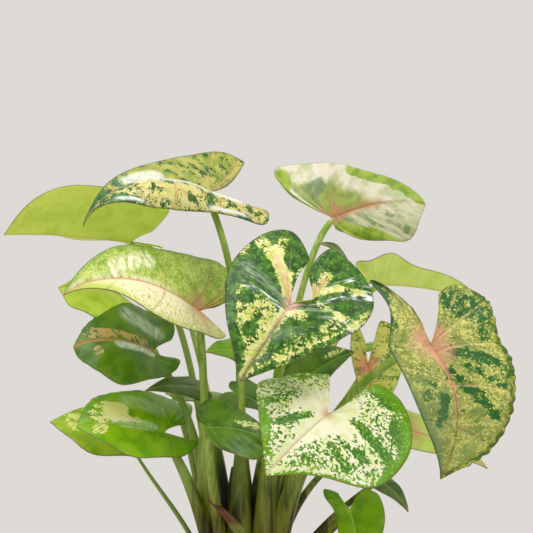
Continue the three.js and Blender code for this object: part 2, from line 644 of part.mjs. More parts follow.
// The pot's outer radius on its tapered wall
function wallRadius(z) {
  return POT_FOOT_RADIUS + (POT_MOUTH_RADIUS - RIM_STEP - POT_FOOT_RADIUS) * z / POT_HEIGHT;
}

function turned(profile) {
  const points = profile.map(([radius, z]) => new THREE.Vector2(radius, z));
  const geometry = new THREE.LatheGeometry(points, POT_SIDES);
  geometry.rotateX(Math.PI / 2);
  return geometry;
}

function drainHole(index) {
  const angle = 2 * Math.PI * (index + 0.5) / DRAIN_COUNT;
  const hole = new THREE.CylinderGeometry(DRAIN_RADIUS, DRAIN_RADIUS, 4 * POT_FLOOR, 10);
  hole.rotateX(Math.PI / 2);
  hole.translate(DRAIN_RING * Math.cos(angle), DRAIN_RING * Math.sin(angle), 0);
  return solidOf(hole);
}

function potMesh() {
  const rimFoot = POT_HEIGHT - RIM_HEIGHT;
  let pot = solidOf(turned([
    [0, 0],
    [POT_FOOT_RADIUS - 1.5, 0],
    [wallRadius(1.5), 1.5],
    [wallRadius(rimFoot), rimFoot],
    [wallRadius(rimFoot) + RIM_STEP, rimFoot + 1.5],
    [POT_MOUTH_RADIUS, POT_HEIGHT - 1],
    [POT_MOUTH_RADIUS - 1, POT_HEIGHT],
    [POT_MOUTH_RADIUS - RIM_STEP - POT_WALL + 1, POT_HEIGHT],
    [wallRadius(POT_HEIGHT - 1) - POT_WALL, POT_HEIGHT - 1],
    [wallRadius(POT_FLOOR) - POT_WALL, POT_FLOOR],
    [0, POT_FLOOR],
  ]));
  for (let index = 0; index < DRAIN_COUNT; index += 1) {
    pot = pot.subtract(drainHole(index));
  }
  const material = new THREE.MeshStandardMaterial({ color: 0xa8603f, roughness: 0.7, metalness: 0 });
  const mesh = new THREE.Mesh(geometryOf(pot), material);
  mesh.name = 'pot';
  return mesh;
}

// A plain hole for a stalk's foot, with the foot's own sides and a little play
function footHole(x, y, radius) {
  const depth = SOIL_TOP - FOOT_DEPTH - CLEARANCE;
  const rings = [depth, SOIL_TOP + 2 * SOIL_DOME].map((z) => (
    { centre: new THREE.Vector3(x, y, z), radius: radius + CLEARANCE }));
  return ringTube(rings, STALK_SIDES);
}

// The withered sheath that leans out of the crown's front, brown and split at its tip
const OLD_SHEATH = {
  foot: [0, -20.5],
  rise: [-2, -20.5, 112],
  reach: [-12, -21, 122],
  tip: [-21, -21, 141],
  radius: 2.6,
  flatness: 0.55,
};

function oldSheathMesh() {
  const { foot, rise, reach, tip, radius, flatness } = OLD_SHEATH;
  const curve = new THREE.CubicBezierCurve3(
    new THREE.Vector3(...foot, SOIL_TOP + SOIL_DOME),
    new THREE.Vector3(...rise),
    new THREE.Vector3(...reach),
    new THREE.Vector3(...tip),
  );
  const steps = 7;
  const rings = [{ centre: new THREE.Vector3(...foot, SOIL_TOP - FOOT_DEPTH), radius, flatness }];
  for (let step = 0; step <= steps; step += 1) {
    const share = step / steps;
    const taper = 1 + 0.5 * Math.sin(Math.PI * share) - 0.7 * share ** 3;
    rings.push({ centre: curve.getPoint(share), radius: radius * taper, flatness });
  }
  const material = new THREE.MeshStandardMaterial({ color: 0x6e4630, roughness: 0.8, metalness: 0 });
  const mesh = new THREE.Mesh(geometryOf(ringTube(rings, 8)), material);
  mesh.name = 'old_leaf_sheath';
  return mesh;
}

function soilMesh() {
  const bottom = POT_FLOOR + CLEARANCE;
  const play = POT_WALL + CLEARANCE;
  const edge = wallRadius(SOIL_TOP) - play;
  let soil = solidOf(turned([
    [0, bottom],
    [wallRadius(bottom) - play, bottom],
    [edge, SOIL_TOP - 1],
    [0.8 * edge, SOIL_TOP],
    [0.5 * edge, SOIL_TOP + 0.9 * SOIL_DOME],
    [0, SOIL_TOP + SOIL_DOME],
  ]));
  for (const leaf of LEAVES) {
    soil = soil.subtract(footHole(...footPlace(leaf.foot), leaf.stalk * FOOT_SWELL));
  }
  for (const stem of STEMS) {
    soil = soil.subtract(footHole(...footPlace(stem.foot), STEM_FOOT_RADIUS));
  }
  soil = soil.subtract(footHole(...OLD_SHEATH.foot, OLD_SHEATH.radius));
  const material = new THREE.MeshStandardMaterial({ color: 0x3a2a1e, roughness: 1, metalness: 0 });
  const mesh = new THREE.Mesh(geometryOf(soil), material);
  mesh.name = 'soil';
  return mesh;
}

// The two short stems that the leaves grew from, hidden among the stalks
const STEMS = [
  { name: 'left_stem', foot: [-1, -1], rise: [-6, -3, 115], reach: [-7, -3, 135], top: [-8, -3, 156] },
  { name: 'right_stem', foot: [-1, 1], rise: [6, -2.5, 112], reach: [7.5, -2, 125], top: [9, -1, 140] },
];
const STEM_FOOT_RADIUS = 2.6;
const STEM_RADIUS = 3.2;

function stemMesh(stem) {
  const [x, y] = footPlace(stem.foot);
  const curve = new THREE.CubicBezierCurve3(
    new THREE.Vector3(x, y, SOIL_TOP + SOIL_DOME),
    new THREE.Vector3(...stem.rise),
    new THREE.Vector3(...stem.reach),
    new THREE.Vector3(...stem.top),
  );
  const steps = 8;
  const rings = [{ centre: new THREE.Vector3(x, y, SOIL_TOP - FOOT_DEPTH), radius: STEM_FOOT_RADIUS }];
  for (let step = 0; step <= steps; step += 1) {
    const share = step / steps;
    const radius = STEM_FOOT_RADIUS + (STEM_RADIUS - STEM_FOOT_RADIUS) * smoothRamp(share * 2);
    rings.push({ centre: curve.getPoint(share), radius: radius * (1 - 0.5 * share ** 4) });
  }
  const material = new THREE.MeshStandardMaterial({ color: 0x4a5220, roughness: 0.7, metalness: 0 });
  const mesh = new THREE.Mesh(geometryOf(ringTube(rings, STALK_SIDES)), material);
  mesh.name = stem.name;
  return mesh;
}

const plant = new THREE.Group();
plant.add(potMesh());
plant.add(soilMesh());
plant.add(oldSheathMesh());
for (const stem of STEMS) {
  plant.add(stemMesh(stem));
}
for (const leaf of LEAVES) {
  plant.add(leafMesh(leaf));
}

export default plant;
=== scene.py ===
# %% [markdown]
# # A potted dwarf arrowhead plant
# The plant is a crown of slender stalks, each with one heart-shaped blade that is mottled in
# green, cream and pink. The solids of the part give every leaf its place and its main form.
# This lesson dresses them: finer blades with raised tissue, cut margins and painted veins,
# smooth stalks with sheaths, crumbs of soil and a moulded pot.

import math

import bpy
import numpy as np
from mathutils import Matrix, Vector


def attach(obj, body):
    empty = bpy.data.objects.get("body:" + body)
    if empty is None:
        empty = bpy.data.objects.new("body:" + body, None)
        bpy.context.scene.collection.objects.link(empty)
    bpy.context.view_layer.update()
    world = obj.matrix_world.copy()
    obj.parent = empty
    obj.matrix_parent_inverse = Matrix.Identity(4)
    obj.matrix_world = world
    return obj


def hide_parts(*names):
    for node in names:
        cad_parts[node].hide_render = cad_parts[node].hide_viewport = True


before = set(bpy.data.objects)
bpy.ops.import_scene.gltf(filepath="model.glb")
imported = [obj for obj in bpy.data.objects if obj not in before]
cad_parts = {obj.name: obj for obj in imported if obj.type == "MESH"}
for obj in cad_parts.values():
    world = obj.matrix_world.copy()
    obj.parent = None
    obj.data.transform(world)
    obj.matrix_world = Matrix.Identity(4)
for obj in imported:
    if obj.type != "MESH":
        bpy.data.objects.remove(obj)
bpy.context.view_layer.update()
MM = 0.001

# %% [markdown]
# ## The camera
# The photograph looks at the crown from a little above, with a long lens. The camera could be
# turned by hand, but it is easier to say what it looks at, how high it stands and how far away
# it is, and to let a track rotation turn it.

# %% The camera
CAMERA_TARGET = Vector((8.25, 0, 256.75)) * MM
CAMERA_DISTANCE = 740 * MM
CAMERA_ELEVATION = math.radians(4)
LENS = 100
NEAREST_SEEN = 0.05
FURTHEST_SEEN = 50

scene = bpy.context.scene
camera = bpy.data.objects.new("camera", bpy.data.cameras.new("camera"))
camera.data.lens = LENS
camera.data.clip_start = NEAREST_SEEN
camera.data.clip_end = FURTHEST_SEEN
back = Vector((0, -math.cos(CAMERA_ELEVATION), math.sin(CAMERA_ELEVATION)))
camera.location = CAMERA_TARGET + back * CAMERA_DISTANCE
camera.rotation_euler = back.to_track_quat("Z", "Y").to_euler()
scene.collection.objects.link(camera)
scene.camera = camera
scene.view_settings.view_transform = "Standard"
print("camera at", [round(c, 3) for c in camera.location])

# %% [markdown]
# ## A shorthand for node trees
# A finish is a small program on colours and numbers. Written with bare nodes it would be long
# and hard to read, so a socket is wrapped in a class that does arithmetic, and every other
# node comes from one method. The same method builds the geometry node groups further on.

# %% Sockets that do arithmetic
class Socket:
    """An output of a node, which can be added, multiplied and so on like a number."""

    def __init__(self, tree, socket):
        self.tree = tree
        self.socket = socket

    def maths(self, operation, *values):
        return self.tree.node("ShaderNodeMath", {"operation": operation}, dict(enumerate(values)))

    def __add__(self, other):
        return self.maths("ADD", self, other)

    __radd__ = __add__

    def __sub__(self, other):
        return self.maths("SUBTRACT", self, other)

    def __rsub__(self, other):
        return self.maths("SUBTRACT", other, self)

    def __mul__(self, other):
        return self.maths("MULTIPLY", self, other)

    __rmul__ = __mul__

    def __truediv__(self, other):
        return self.maths("DIVIDE", self, other)

    def __pow__(self, other):
        return self.maths("POWER", self, other)

    def absolute(self):
        return self.maths("ABSOLUTE", self)

    def ramp(self, start, end):
        """0 before start and 1 after end, with a smooth rise between them."""
        settings = {"interpolation_type": "SMOOTHSTEP"}
        return self.tree.node("ShaderNodeMapRange", settings, {0: self, 1: start, 2: end})

    def bell(self, width):
        """1 where this is 0, falling smoothly to 0 at the given width on both sides."""
        return 1 - self.absolute().ramp(0, width)


class Tree:
    """A node tree in the making."""

    def __init__(self, tree):
        self.tree = tree

    def node(self, kind, settings=None, inputs=None, output=0):
        """A new node, as the wrapped socket of its output. A list links several to one input."""
        made = self.tree.nodes.new(kind)
        for key, value in (settings or {}).items():
            setattr(made, key, value)
        for key, value in (inputs or {}).items():
            for one in value if isinstance(value, list) else [value]:
                if isinstance(one, Socket):
                    self.tree.links.new(one.socket, made.inputs[key])
                else:
                    made.inputs[key].default_value = one
        return Socket(self, made.outputs[output]) if made.outputs else None


print("a socket can", [name for name in ("__add__", "ramp", "bell") if hasattr(Socket, name)])


# %% Materials in a few words
def paint(red, green, blue):
    """A colour given as 0 to 255 on a screen, as the linear values that shaders use."""
    linear = [((c / 255 + 0.055) / 1.055) ** 2.4 if c > 10 else c / 255 / 12.92
              for c in (red, green, blue)]
    return (*linear, 1.0)


class Finish(Tree):
    """A material in the making."""

    def __init__(self, name):
        self.material = bpy.data.materials.new(name)
        self.material.use_nodes = True
        super().__init__(self.material.node_tree)
        self.tree.nodes.clear()

    def mix(self, first, second, share):
        """A colour between two, each of them a socket or three screen values."""
        first, second = (paint(*c) if isinstance(c, tuple) else c for c in (first, second))
        return self.node("ShaderNodeMix", {"data_type": "RGBA"}, {0: share, 6: first, 7: second}, 2)

    def point(self, x, y, z):
        return self.node("ShaderNodeCombineXYZ", None, {0: x, 1: y, 2: z})

    def parts(self, vector):
        """The three numbers of a vector."""
        first = self.node("ShaderNodeSeparateXYZ", None, {0: vector})
        outputs = first.socket.node.outputs
        return [Socket(self, outputs[axis]) for axis in range(3)]

    def noise(self, place, size, detail=2.0):
        """Soft clouds from 0 to 1, of the given size in the units of place."""
        inputs = {"Vector": place, "Scale": 1 / size, "Detail": detail}
        return self.node("ShaderNodeTexNoise", None, inputs)

    def cells(self, place, size, output="Distance"):
        """Grains of the given size: the distance to a grain's middle, its colour or its place."""
        return self.node("ShaderNodeTexVoronoi", None, {"Vector": place, "Scale": 1 / size}, output)

    def attribute(self, name):
        return self.node("ShaderNodeAttribute", {"attribute_name": name}, None, "Vector")

    def object_place(self):
        return self.node("ShaderNodeTexCoord", None, None, "Object")

    def bump(self, height):
        """Relief with its height in millimetres."""
        return self.node("ShaderNodeBump", None, {"Height": height, "Distance": MM}, "Normal")

    def ended(self, shader):
        self.node("ShaderNodeOutputMaterial", None, {"Surface": shader})
        return self.material

    def surface(self, **inputs):
        """Ends the material with one Principled shader, and returns the material."""
        named = {key.replace("_", " "): value for key, value in inputs.items()}
        return self.ended(self.node("ShaderNodeBsdfPrincipled", None, named))


print("a mid grey in linear light:", round(paint(128, 128, 128)[0], 3))

# %% [markdown]
# ## The studio
# The background of the photograph is one pale grey. A white floor with a horizon would draw a
# line behind the pot, so the floor near the plant takes light and shadow as paper does, and
# further out it turns into an even glow of the same grey, which meets the world's colour unseen.

# %% The floor and the lights
STUDIO_GREY = paint(222, 218, 214)
PAPER_GREY = paint(205, 201, 197)
FLOOR_RADIUS = 8.0
FLOOR_SIDES = 96
GLOW_START = 0.30
GLOW_END = 0.45


def floor_material():
    finish = Finish("studio_floor")
    place = finish.object_place()
    reach = finish.node("ShaderNodeVectorMath", {"operation": "LENGTH"}, {0: place}, "Value")
    paper = finish.node("ShaderNodeBsdfPrincipled", None,
                        {"Base Color": PAPER_GREY, "Roughness": 0.9})
    glow = finish.node("ShaderNodeEmission", None, {"Color": STUDIO_GREY})
    share = reach.ramp(GLOW_START, GLOW_END)
    return finish.ended(finish.node("ShaderNodeMixShader", None, {0: share, 1: paper, 2: glow}))


bpy.ops.mesh.primitive_circle_add(vertices=FLOOR_SIDES, radius=FLOOR_RADIUS, fill_type="NGON")
floor = bpy.context.object
floor.name = "studio_floor"
floor.data.materials.append(floor_material())

world = bpy.data.worlds.new("studio")
scene.world = world
world.use_nodes = True
world.node_tree.nodes["Background"].inputs["Color"].default_value = STUDIO_GREY


def area_light(name, place, size, power):
    """A square soft light that looks at the crown."""
    light = bpy.data.objects.new(name, bpy.data.lights.new(name, "AREA"))
    light.data.size = size
    light.data.energy = power
    light.location = place
    light.rotation_euler = (Vector(place) - CAMERA_TARGET).to_track_quat("Z", "Y").to_euler()
    light.visible_camera = False
    scene.collection.objects.link(light)


area_light("overhead_softbox", (-0.25, -0.25, 1.25), 0.9, 9)
area_light("side_softbox", (0.9, -0.5, 0.8), 0.7, 3)

# %% [markdown]
# ## The leaves
# Every leaf is listed by the same measures as the solids have, so that the dressed blade lies
# on its solid: where its stalk joins, where its tip is, the way it faces and how it droops,
# the size, fold and curl of each half, and the margin's points on the flattened blade. A half
# without such points is a plain heart. A stalk has a foot, given as a row and a place in the
# crown, two handles and a slim radius, and its sheath is so many times wider than its solid,
# where it wraps round its neighbours.

# %% The leaves' measures
def half_blade(width, back, fold, curl, lobe, *edge, sinus=(0, 1)):
    """Half a blade: its size, how it bends, its margin's points and how its notch closes."""
    return dict(width=width, back=back, fold=fold, curl=curl, lobe=lobe, edge=edge, sinus=sinus)


def measures(name, size, junction, tip, faces, droop, left, right, foot, rise, reach, stalk,
             hook=0.3, sideways=0, twist=0, sheath=1.3):
    """One leaf's measures under their names, in millimetres and degrees."""
    return dict(name=name, size=size, junction=junction, tip=tip, faces=faces, droop=droop,
                left=left, right=right, foot=foot, rise=rise, reach=reach, stalk=stalk,
                hook=hook, sideways=sideways, twist=twist, sheath=sheath)


LEAVES = [
    measures(
        "front_mottled_leaf", "large", (20, -35, 241), (-4, -55, 207), (0.15, -0.88, 0.45), 25,
        half_blade(38, 36, 14, -30, 10, (-1, -14), (-3, -31), (1, -43), (14, -41), (34, -25),
            (30, 0), (17, 24), sinus=(7, 8)),
        half_blade(38, 34, 12, -30, 15, (4.5, -13), (5, -30), (19, -39), (32, -29), (35, 0),
            (24, 22), (10, 37)),
        (-3, 1), (8, -14.5, 150), (12, -6, 215), 1.8, sheath=2.1),
    measures(
        "low_cream_leaf", "large", (37, -45, 190), (8, -62, 164), (0.05, -0.8, 0.6), 35,
        half_blade(46, 32, 6, -35, 0, (4, -6), (2, -20), (6, -32), (20, -34), (40, -18), (40, 12),
            (16, 29)),
        half_blade(40, 28, 10, -50, 20, (8, -11), (16, -21.5), (21.5, -14), (32, -5.5), (39.5, 7),
            (24, 22.5), (9, 35)),
        (-2, 2), (12, -9, 140), (32, -22, 175), 1.8, sheath=1.6),
    measures(
        "right_olive_leaf", "large", (87, -30, 221), (91, -42, 158), (-0.25, -0.9, 0.25), 20,
        half_blade(36, 28, 10, -30, 10, (4, -12), (5, -25), (15, -28.5), (28, -20.5), (33, 2),
            (28, 26), (18.5, 51)),
        half_blade(24, 34, 25, -30, 10, (5, -7), (8, -18), (17, -27), (29, -34.5), (18.7, -17),
            (21.5, 10), (16.5, 36)),
        (-1, 2), (15, -5, 155), (52, -8, 210), 2.2, sideways=-11, sheath=1.15),
    measures(
        "left_cream_leaf", "large", (-25, -12, 236), (-88, -40, 246), (0, -0.7, 0.71), 98,
        half_blade(26, 20, 10, -30, -20, (0, -4), (4, -10), (11, -15), (14, -6), (18.5, 11),
            (19, 37), (7, 57)),
        half_blade(36, 28, 20, -20, -30, (7, -7), (10, -16), (18, -26), (28, -27), (35, -12),
            (22, 29), (14.5, 56)),
        (-1, -2), (-26, -5, 145), (-21, 6, 200), 2, hook=1, sheath=2.3),
    measures(
        "top_spotted_leaf", "large", (-22, 6, 294), (-80, -28, 278), (0.05, -0.1, 1), 88,
        half_blade(30, 34, 35, -128, -20, (4, -9), (8, -20), (14, -30), (20, -25), (21.5, -2),
            (27.5, 30), (23, 47)),
        half_blade(30, 30, 14, 5, 0, (7, -8), (16, -18), (33, -30), (43, -32), (39, -13), (16, 28),
            (5.5, 58)),
        (-3, -1), (-5, -13, 165), (3, 2, 240), 1.7, hook=0.6, twist=15, sheath=2.3),
    measures(
        "far_left_leaf", "large", (-63, 42, 267), (-126, 18, 272), (0, 0.25, 0.97), 10,
        half_blade(38, 24, 35, 15, 0, (4, -2), (9, -8), (22, -14), (32, -7), (34, 10), (32, 34),
            (22, 57)),
        half_blade(30, 24, 15, -10, 0, (5, -8), (9, -18), (18, -22), (27, -14), (31, 2), (26, 28),
            (14, 50)),
        (1, -2), (-26, 19, 165), (-28, 30, 235), 1.7),
    measures(
        "top_rolled_leaf", "large", (43, 30, 280), (89, 12, 287), (-0.1, -0.65, 0.76), 50,
        half_blade(34, 34, 24, -15, -45, (9, -12), (17, -26), (27, -40), (36, -36), (36, -3),
            (17, 26), (6, 46)),
        half_blade(22, 10, -10, -40, 0, (3, -1), (7, 1), (12, 7), (18, 18), (22, 37), (18, 48),
            (8, 50)),
        (1, 0), (12, 10, 180), (26, 24, 268), 1.7, hook=0.8),
    measures(
        "right_back_leaf", "large", (69, 50, 244), (128, 42, 232), (0.1, 0.35, 0.93), 25,
        half_blade(20, 18, 28, -10, 0, (4, -8), (9, -15), (16, -16), (20, -8), (20, 8), (14, 26),
            (7, 45)),
        half_blade(22, 20, 30, 10, 0, (0, -3), (4, -8), (13, -13), (17, -6), (20, 6), (14, 20),
            (9, 41)),
        (1, 1), (16, 10, 170), (50, 36, 238), 1.6),
    measures(
        "left_dark_leaf", "large", (-49, 5, 213), (-87, -14, 218), (0, -0.65, 0.76), 70,
        half_blade(28, 15, 5, -20, -35, (0, -4), (0, -13), (6, -14), (16, -2), (28, 22), (21, 36),
            (9, 44)),
        half_blade(28, 18, 12, -20, -35, (6, -4), (12, -14), (22, -18), (34, -11), (29, 11),
            (16, 29), (6, 40)),
        (0, -2), (-22, 6, 150), (-31, 19, 190), 1.6, hook=0.8, sheath=1.5),
    measures(
        "low_left_leaf", "large", (-43, -4, 174), (-85, -20, 179), (0, -0.6, 0.8), 45,
        half_blade(24, 18, 8, -20, -15, (0, -4), (0, -13), (4, -18), (15, -6), (22, 17), (14, 34),
            (6, 41)),
        half_blade(28, 22, 12, -30, 0, (6, -7), (12, -17), (31, -26), (36, -18), (26, 10), (20, 31),
            (8, 42)),
        (-2, -2), (-19, -12, 125), (-30, -12, 152), 1.4, sheath=1.7),
    measures(
        "low_left_back_leaf", "small", (-64, 25, 167), (-102, 8, 177), (0, -0.5, 0.87), 30,
        half_blade(20, 13, 5, -20, 0, (0, -5), (2, -10), (6, -13), (14, -6), (20, 12), (20, 28),
            (8, 38)),
        half_blade(20, 16, 10, -20, 0),
        (0, -3), (-24, 3, 122), (-52, 14, 142), 0.75, sheath=1.0),
    measures(
        "small_grey_leaf", "small", (-26, 13, 194), (-52, -12, 196), (0, -0.6, 0.8), 30,
        half_blade(10, 6, 0, -30, 0),
        half_blade(9, 6, 15, -30, 0),
        (0, -1), (-12, 4, 140), (-18, 13, 175), 1.3, sheath=1.9),
    measures(
        "centre_dark_leaf", "large", (-20, -30, 181), (13, -48, 176), (0, -0.6, 0.8), 45,
        half_blade(24, 16, 15, -25, 0, (3, -6), (6, -11), (12, -14), (20, -15), (16, 4), (9, 20),
            (3, 34)),
        half_blade(18, 7, 0, -30, 0, (4, 1), (5, 1), (8, 5), (12, 14), (14, 28), (10, 36), (4, 39)),
        (-3, -2), (-14, -14, 130), (-21, -23, 160), 1.4, sheath=1.5),
    measures(
        "back_left_leaf", "small", (-72, 62, 238), (-103, 50, 242), (0, -0.5, 0.87), 30,
        half_blade(23, 10, 0, -20, 0, (3, -4), (6, -9), (13, -10), (20, -4), (23, 8), (22, 20),
            (15, 30)),
        half_blade(16, 10, 10, -20, 0),
        (1, -3), (-26, 18, 150), (-42, 54, 205), 1.4),
    measures(
        "shaded_leaf", "small", (25, -1, 199), (52, -9, 215), (0, -0.6, 0.8), 30,
        half_blade(21, 10, 10, -25, 0),
        half_blade(15, 8, 5, -25, 0),
        (-2, 1), (6, -8.8, 145), (20, -2, 178), 1.4),
    measures(
        "pink_back_leaf", "small", (61, 30, 203), (64, 16, 172), (-0.1, -0.9, 0.3), 20,
        half_blade(20, 26, 10, -25, 0, (3, -8), (6, -17), (10, -24), (17, -20), (20, -6), (15, 11),
            (6, 25)),
        half_blade(8, 22, 10, -25, 0, (1, -6), (0, -14), (3, -24), (6, -22), (8, -10), (7, 4),
            (4, 20)),
        (0, 2), (18, 4, 150), (50, 26, 185), 1.5, sheath=1.1),
    measures(
        "low_right_leaf", "small", (49, -26, 140), (54, -44, 115), (0, -0.85, 0.5), 30,
        half_blade(17, 10, 15, -25, 0, (2, -3), (5, -6), (9, -9), (15, -6), (16, 7), (12, 18),
            (6, 26)),
        half_blade(8, 16, 15, -25, 0, (2, -3), (4, -10), (10, -14), (11, -10), (8, 0), (8, 13),
            (4, 24)),
        (-2, 3), (19, -10, 106), (38, -20, 126), 1.3, sheath=1.0),
    measures(
        "low_right_young_leaf", "small", (65, -2, 149), (79, -12, 135), (0.2, -0.5, 0.85), 50,
        *[half_blade(7, 5, 10, -25, 0)] * 2,
        (0, 3), (20, 2, 110), (50, -2, 140), 1.1, sheath=1.0),
    measures(
        "right_low_back_leaf", "small", (81, 52, 166), (129, 60, 142), (0, -0.4, 0.9), 30,
        half_blade(17, 10, 20, -25, 0),
        half_blade(13, 8, -5, -25, 0),
        (1, 2), (16, 9, 142), (48, 32, 160), 1.3, sheath=1.0),
    measures(
        "curled_young_leaf", "small", (51, 18, 254), (34, 6, 268), (0.6, -0.2, 0.8), 70,
        half_blade(9, 6, 10, -40, 0),
        half_blade(7, 6, 20, -20, 0),
        (0, 1), (14, 6, 180), (46, 14, 230), 1.2, sheath=1.8),
    measures(
        "small_back_leaf", "small", (-7, 45, 209), (-24, 38, 209), (0, -0.5, 0.85), 30,
        half_blade(12, 8, 10, -25, 0),
        half_blade(11, 8, 10, -25, 0),
        (1, -1), (-6, 16, 150), (-6, 36, 190), 1.2),
    measures(
        "inner_dark_leaf", "small", (-8, 10, 192), (11, -4, 183), (0, -0.5, 0.86), 40,
        half_blade(12, 8, 15, -25, 0),
        half_blade(10, 6, 0, -25, 0),
        (-1, 0), (0, 0, 145), (-5, 8, 172), 1.3, sheath=1.8),
    measures(
        "rear_left_leaf", "small", (-38, 66, 238), (-50, 112, 230), (0, 0.3, 0.95), 40,
        *[half_blade(24, 20, 12, -25, 10)] * 2,
        (2, -1), (-12, 18, 160), (-30, 50, 215), 1.5),
    measures(
        "rear_middle_leaf", "small", (22, 60, 228), (30, 108, 216), (0, 0.3, 0.95), 40,
        *[half_blade(26, 22, 12, -25, 10)] * 2,
        (2, 0), (4, 18, 160), (16, 46, 205), 1.6),
    measures(
        "rear_right_leaf", "small", (76, 76, 208), (98, 116, 196), (0.1, 0.3, 0.95), 40,
        *[half_blade(21, 18, 12, -25, 10)] * 2,
        (2, 2), (14, 20, 150), (60, 60, 192), 1.5, sheath=1.1),
    measures(
        "rear_low_left_leaf", "small", (-28, 62, 182), (-42, 106, 170), (0, 0.3, 0.95), 40,
        *[half_blade(19, 16, 12, -25, 10)] * 2,
        (2, -2), (-16, 22, 130), (-24, 48, 165), 1.4),
    measures(
        "rear_low_right_leaf", "small", (34, 64, 166), (48, 106, 152), (0, 0.3, 0.95), 40,
        *[half_blade(20, 18, 12, -25, 10)] * 2,
        (2, 1), (6, 20, 120), (24, 50, 150), 1.4),
]
print("leaves:", len(LEAVES))

# %% [markdown]
# ## The blade's form
# A leaf blade is a thin sheet that curves two ways at once: it droops along its midrib, and
# each half rises from the midrib and rolls down to the margin. A grid laid along the veins
# follows that growth, because every vein is a line of the grid. The grid is bent by the same
# rule as the part's solids, with many more steps.

# %% Curves that all blades share
NOTCH_VEIN = 1.0
TIP_VEIN = 7.0
JUNCTION_VEIN = 3.6
VEIN_BOW = math.radians(13)
NOTCH_BOW = math.radians(24)
NOTCH_FAN = math.radians(16)
SINUS_REACH = 16
MIDRIB_STEPS = 60
MARGIN_WAVE = 1.0
MARGIN_WAVES = 4
WAVE_SHIFT = 1.3
FULL_WAVE_WIDTH = 22
VEIN_CLIMB = 1.3
EASING_VEIN = 4.5
SHORTEST_VEIN = 6.0
HANDLE_RANGE = (0.35, 0.6)


def smooth_ramp(value):
    x = np.clip(value, 0, 1)
    return x * x * (3 - 2 * x)


def curve_through(points, at):
    """Places on the smooth curve through the listed points, at whole numbers plus fractions."""
    listed = np.array(points, float)
    padded = np.vstack([2 * listed[0] - listed[1], listed, 2 * listed[-1] - listed[-2]])
    start = np.minimum(np.floor(at).astype(int), len(listed) - 2)
    part = (at - start)[..., None]
    p0, p1, p2, p3 = (padded[start + k] for k in range(4))
    slope1 = (p2 - p0) / 2
    slope2 = (p3 - p1) / 2
    cubic = 2 * p1 - 2 * p2 + slope1 + slope2
    square = -3 * p1 + 3 * p2 - 2 * slope1 - slope2
    return cubic * part**3 + square * part**2 + slope1 * part + p1


def heart_edge(width, length, back):
    """The plain heart shape's margin, from beside the notch to the tip."""
    notch = 0.25 * back
    return [
        (0.02 * width + 0.35 * notch, -0.45 * back),
        (0.10 * width + 0.75 * notch, -0.85 * back),
        (0.40 * width + 0.70 * notch, -back),
        (0.82 * width + 0.30 * notch, -0.62 * back),
        (width, 0),
        (0.80 * width, 0.36 * length),
        (0.42 * width, 0.70 * length),
    ]


def turning_strip(heading, turn, length):
    """How far a strip goes along and up when its heading turns evenly."""
    if abs(turn) < 1e-6:
        return length * math.cos(heading), length * math.sin(heading)
    end = heading + turn * length
    return (np.sin(end) - math.sin(heading)) / turn, (math.cos(heading) - np.cos(end)) / turn


print("a heart's margin has", len(heart_edge(30, 60, 25)) + 1, "points")

# %% A blade's frame and margin
class Blade:
    """One leaf's blade, in millimetres: its midrib, its directions and its margin."""

    def __init__(self, leaf):
        hook = leaf["hook"]
        self.leaf = leaf
        self.halves = (leaf["left"], leaf["right"])
        self.junction = Vector(leaf["junction"])
        share = np.linspace(0, 1, MIDRIB_STEPS + 1)
        self.pitches = -math.radians(leaf["droop"]) * ((1 - hook) * share + hook * share**2)
        mean_cos = (np.cos(self.pitches[1:]) + np.cos(self.pitches[:-1])) / 2 / MIDRIB_STEPS
        mean_sin = (np.sin(self.pitches[1:]) + np.sin(self.pitches[:-1])) / 2 / MIDRIB_STEPS
        self.ahead = np.concatenate([[0], np.cumsum(mean_cos)])
        self.up = np.concatenate([[0], np.cumsum(mean_sin)])
        chord = Vector(leaf["tip"]) - self.junction
        self.length = chord.length / math.hypot(self.ahead[-1], self.up[-1])
        chord.normalize()
        normal = Vector(leaf["faces"])
        normal = (normal - chord * normal.dot(chord)).normalized()
        lean = math.atan2(self.up[-1], self.ahead[-1])
        self.forward = chord * math.cos(lean) - normal * math.sin(lean)
        self.normal = chord * math.sin(lean) + normal * math.cos(lean)
        self.rightward = self.forward.cross(self.normal)
        self.edges = [
            [*(half["edge"] or heart_edge(half["width"], self.length, half["back"])),
             (0, self.length)] for half in self.halves]
        self.notches = [self.notch_handle(edge) for edge in self.edges]

    def notch_handle(self, edge):
        """The first vein's heading and handle, so that it follows the notch's margin."""
        past = 2 * np.array(edge[0]) - np.array(edge[1]) / 2
        first_reach = np.array(edge[1])
        first_heading, past_heading, junction_heading = (
            math.atan2(x, -y)
            for x, y in (first_reach, past, curve_through(edge, np.array(JUNCTION_VEIN))))
        at_junction = junction_heading - VEIN_BOW
        first = min(max(past_heading, first_heading - NOTCH_BOW), first_heading + NOTCH_BOW,
                    at_junction - NOTCH_FAN)
        handle = math.hypot(*past) / math.hypot(*first_reach)
        return first, np.clip(handle, *HANDLE_RANGE), at_junction


print("length of the first blade in mm:", round(Blade(LEAVES[0]).length, 1))

# %% [markdown]
# ### Laying the veins out flat
# A lateral vein leaves the midrib and bows on its way to the margin. It could be drawn by
# hand on every leaf, but a curve with one handle is enough, and all veins between two real
# ones follow the same rule, so the whole half is filled by numbers from notch to tip.

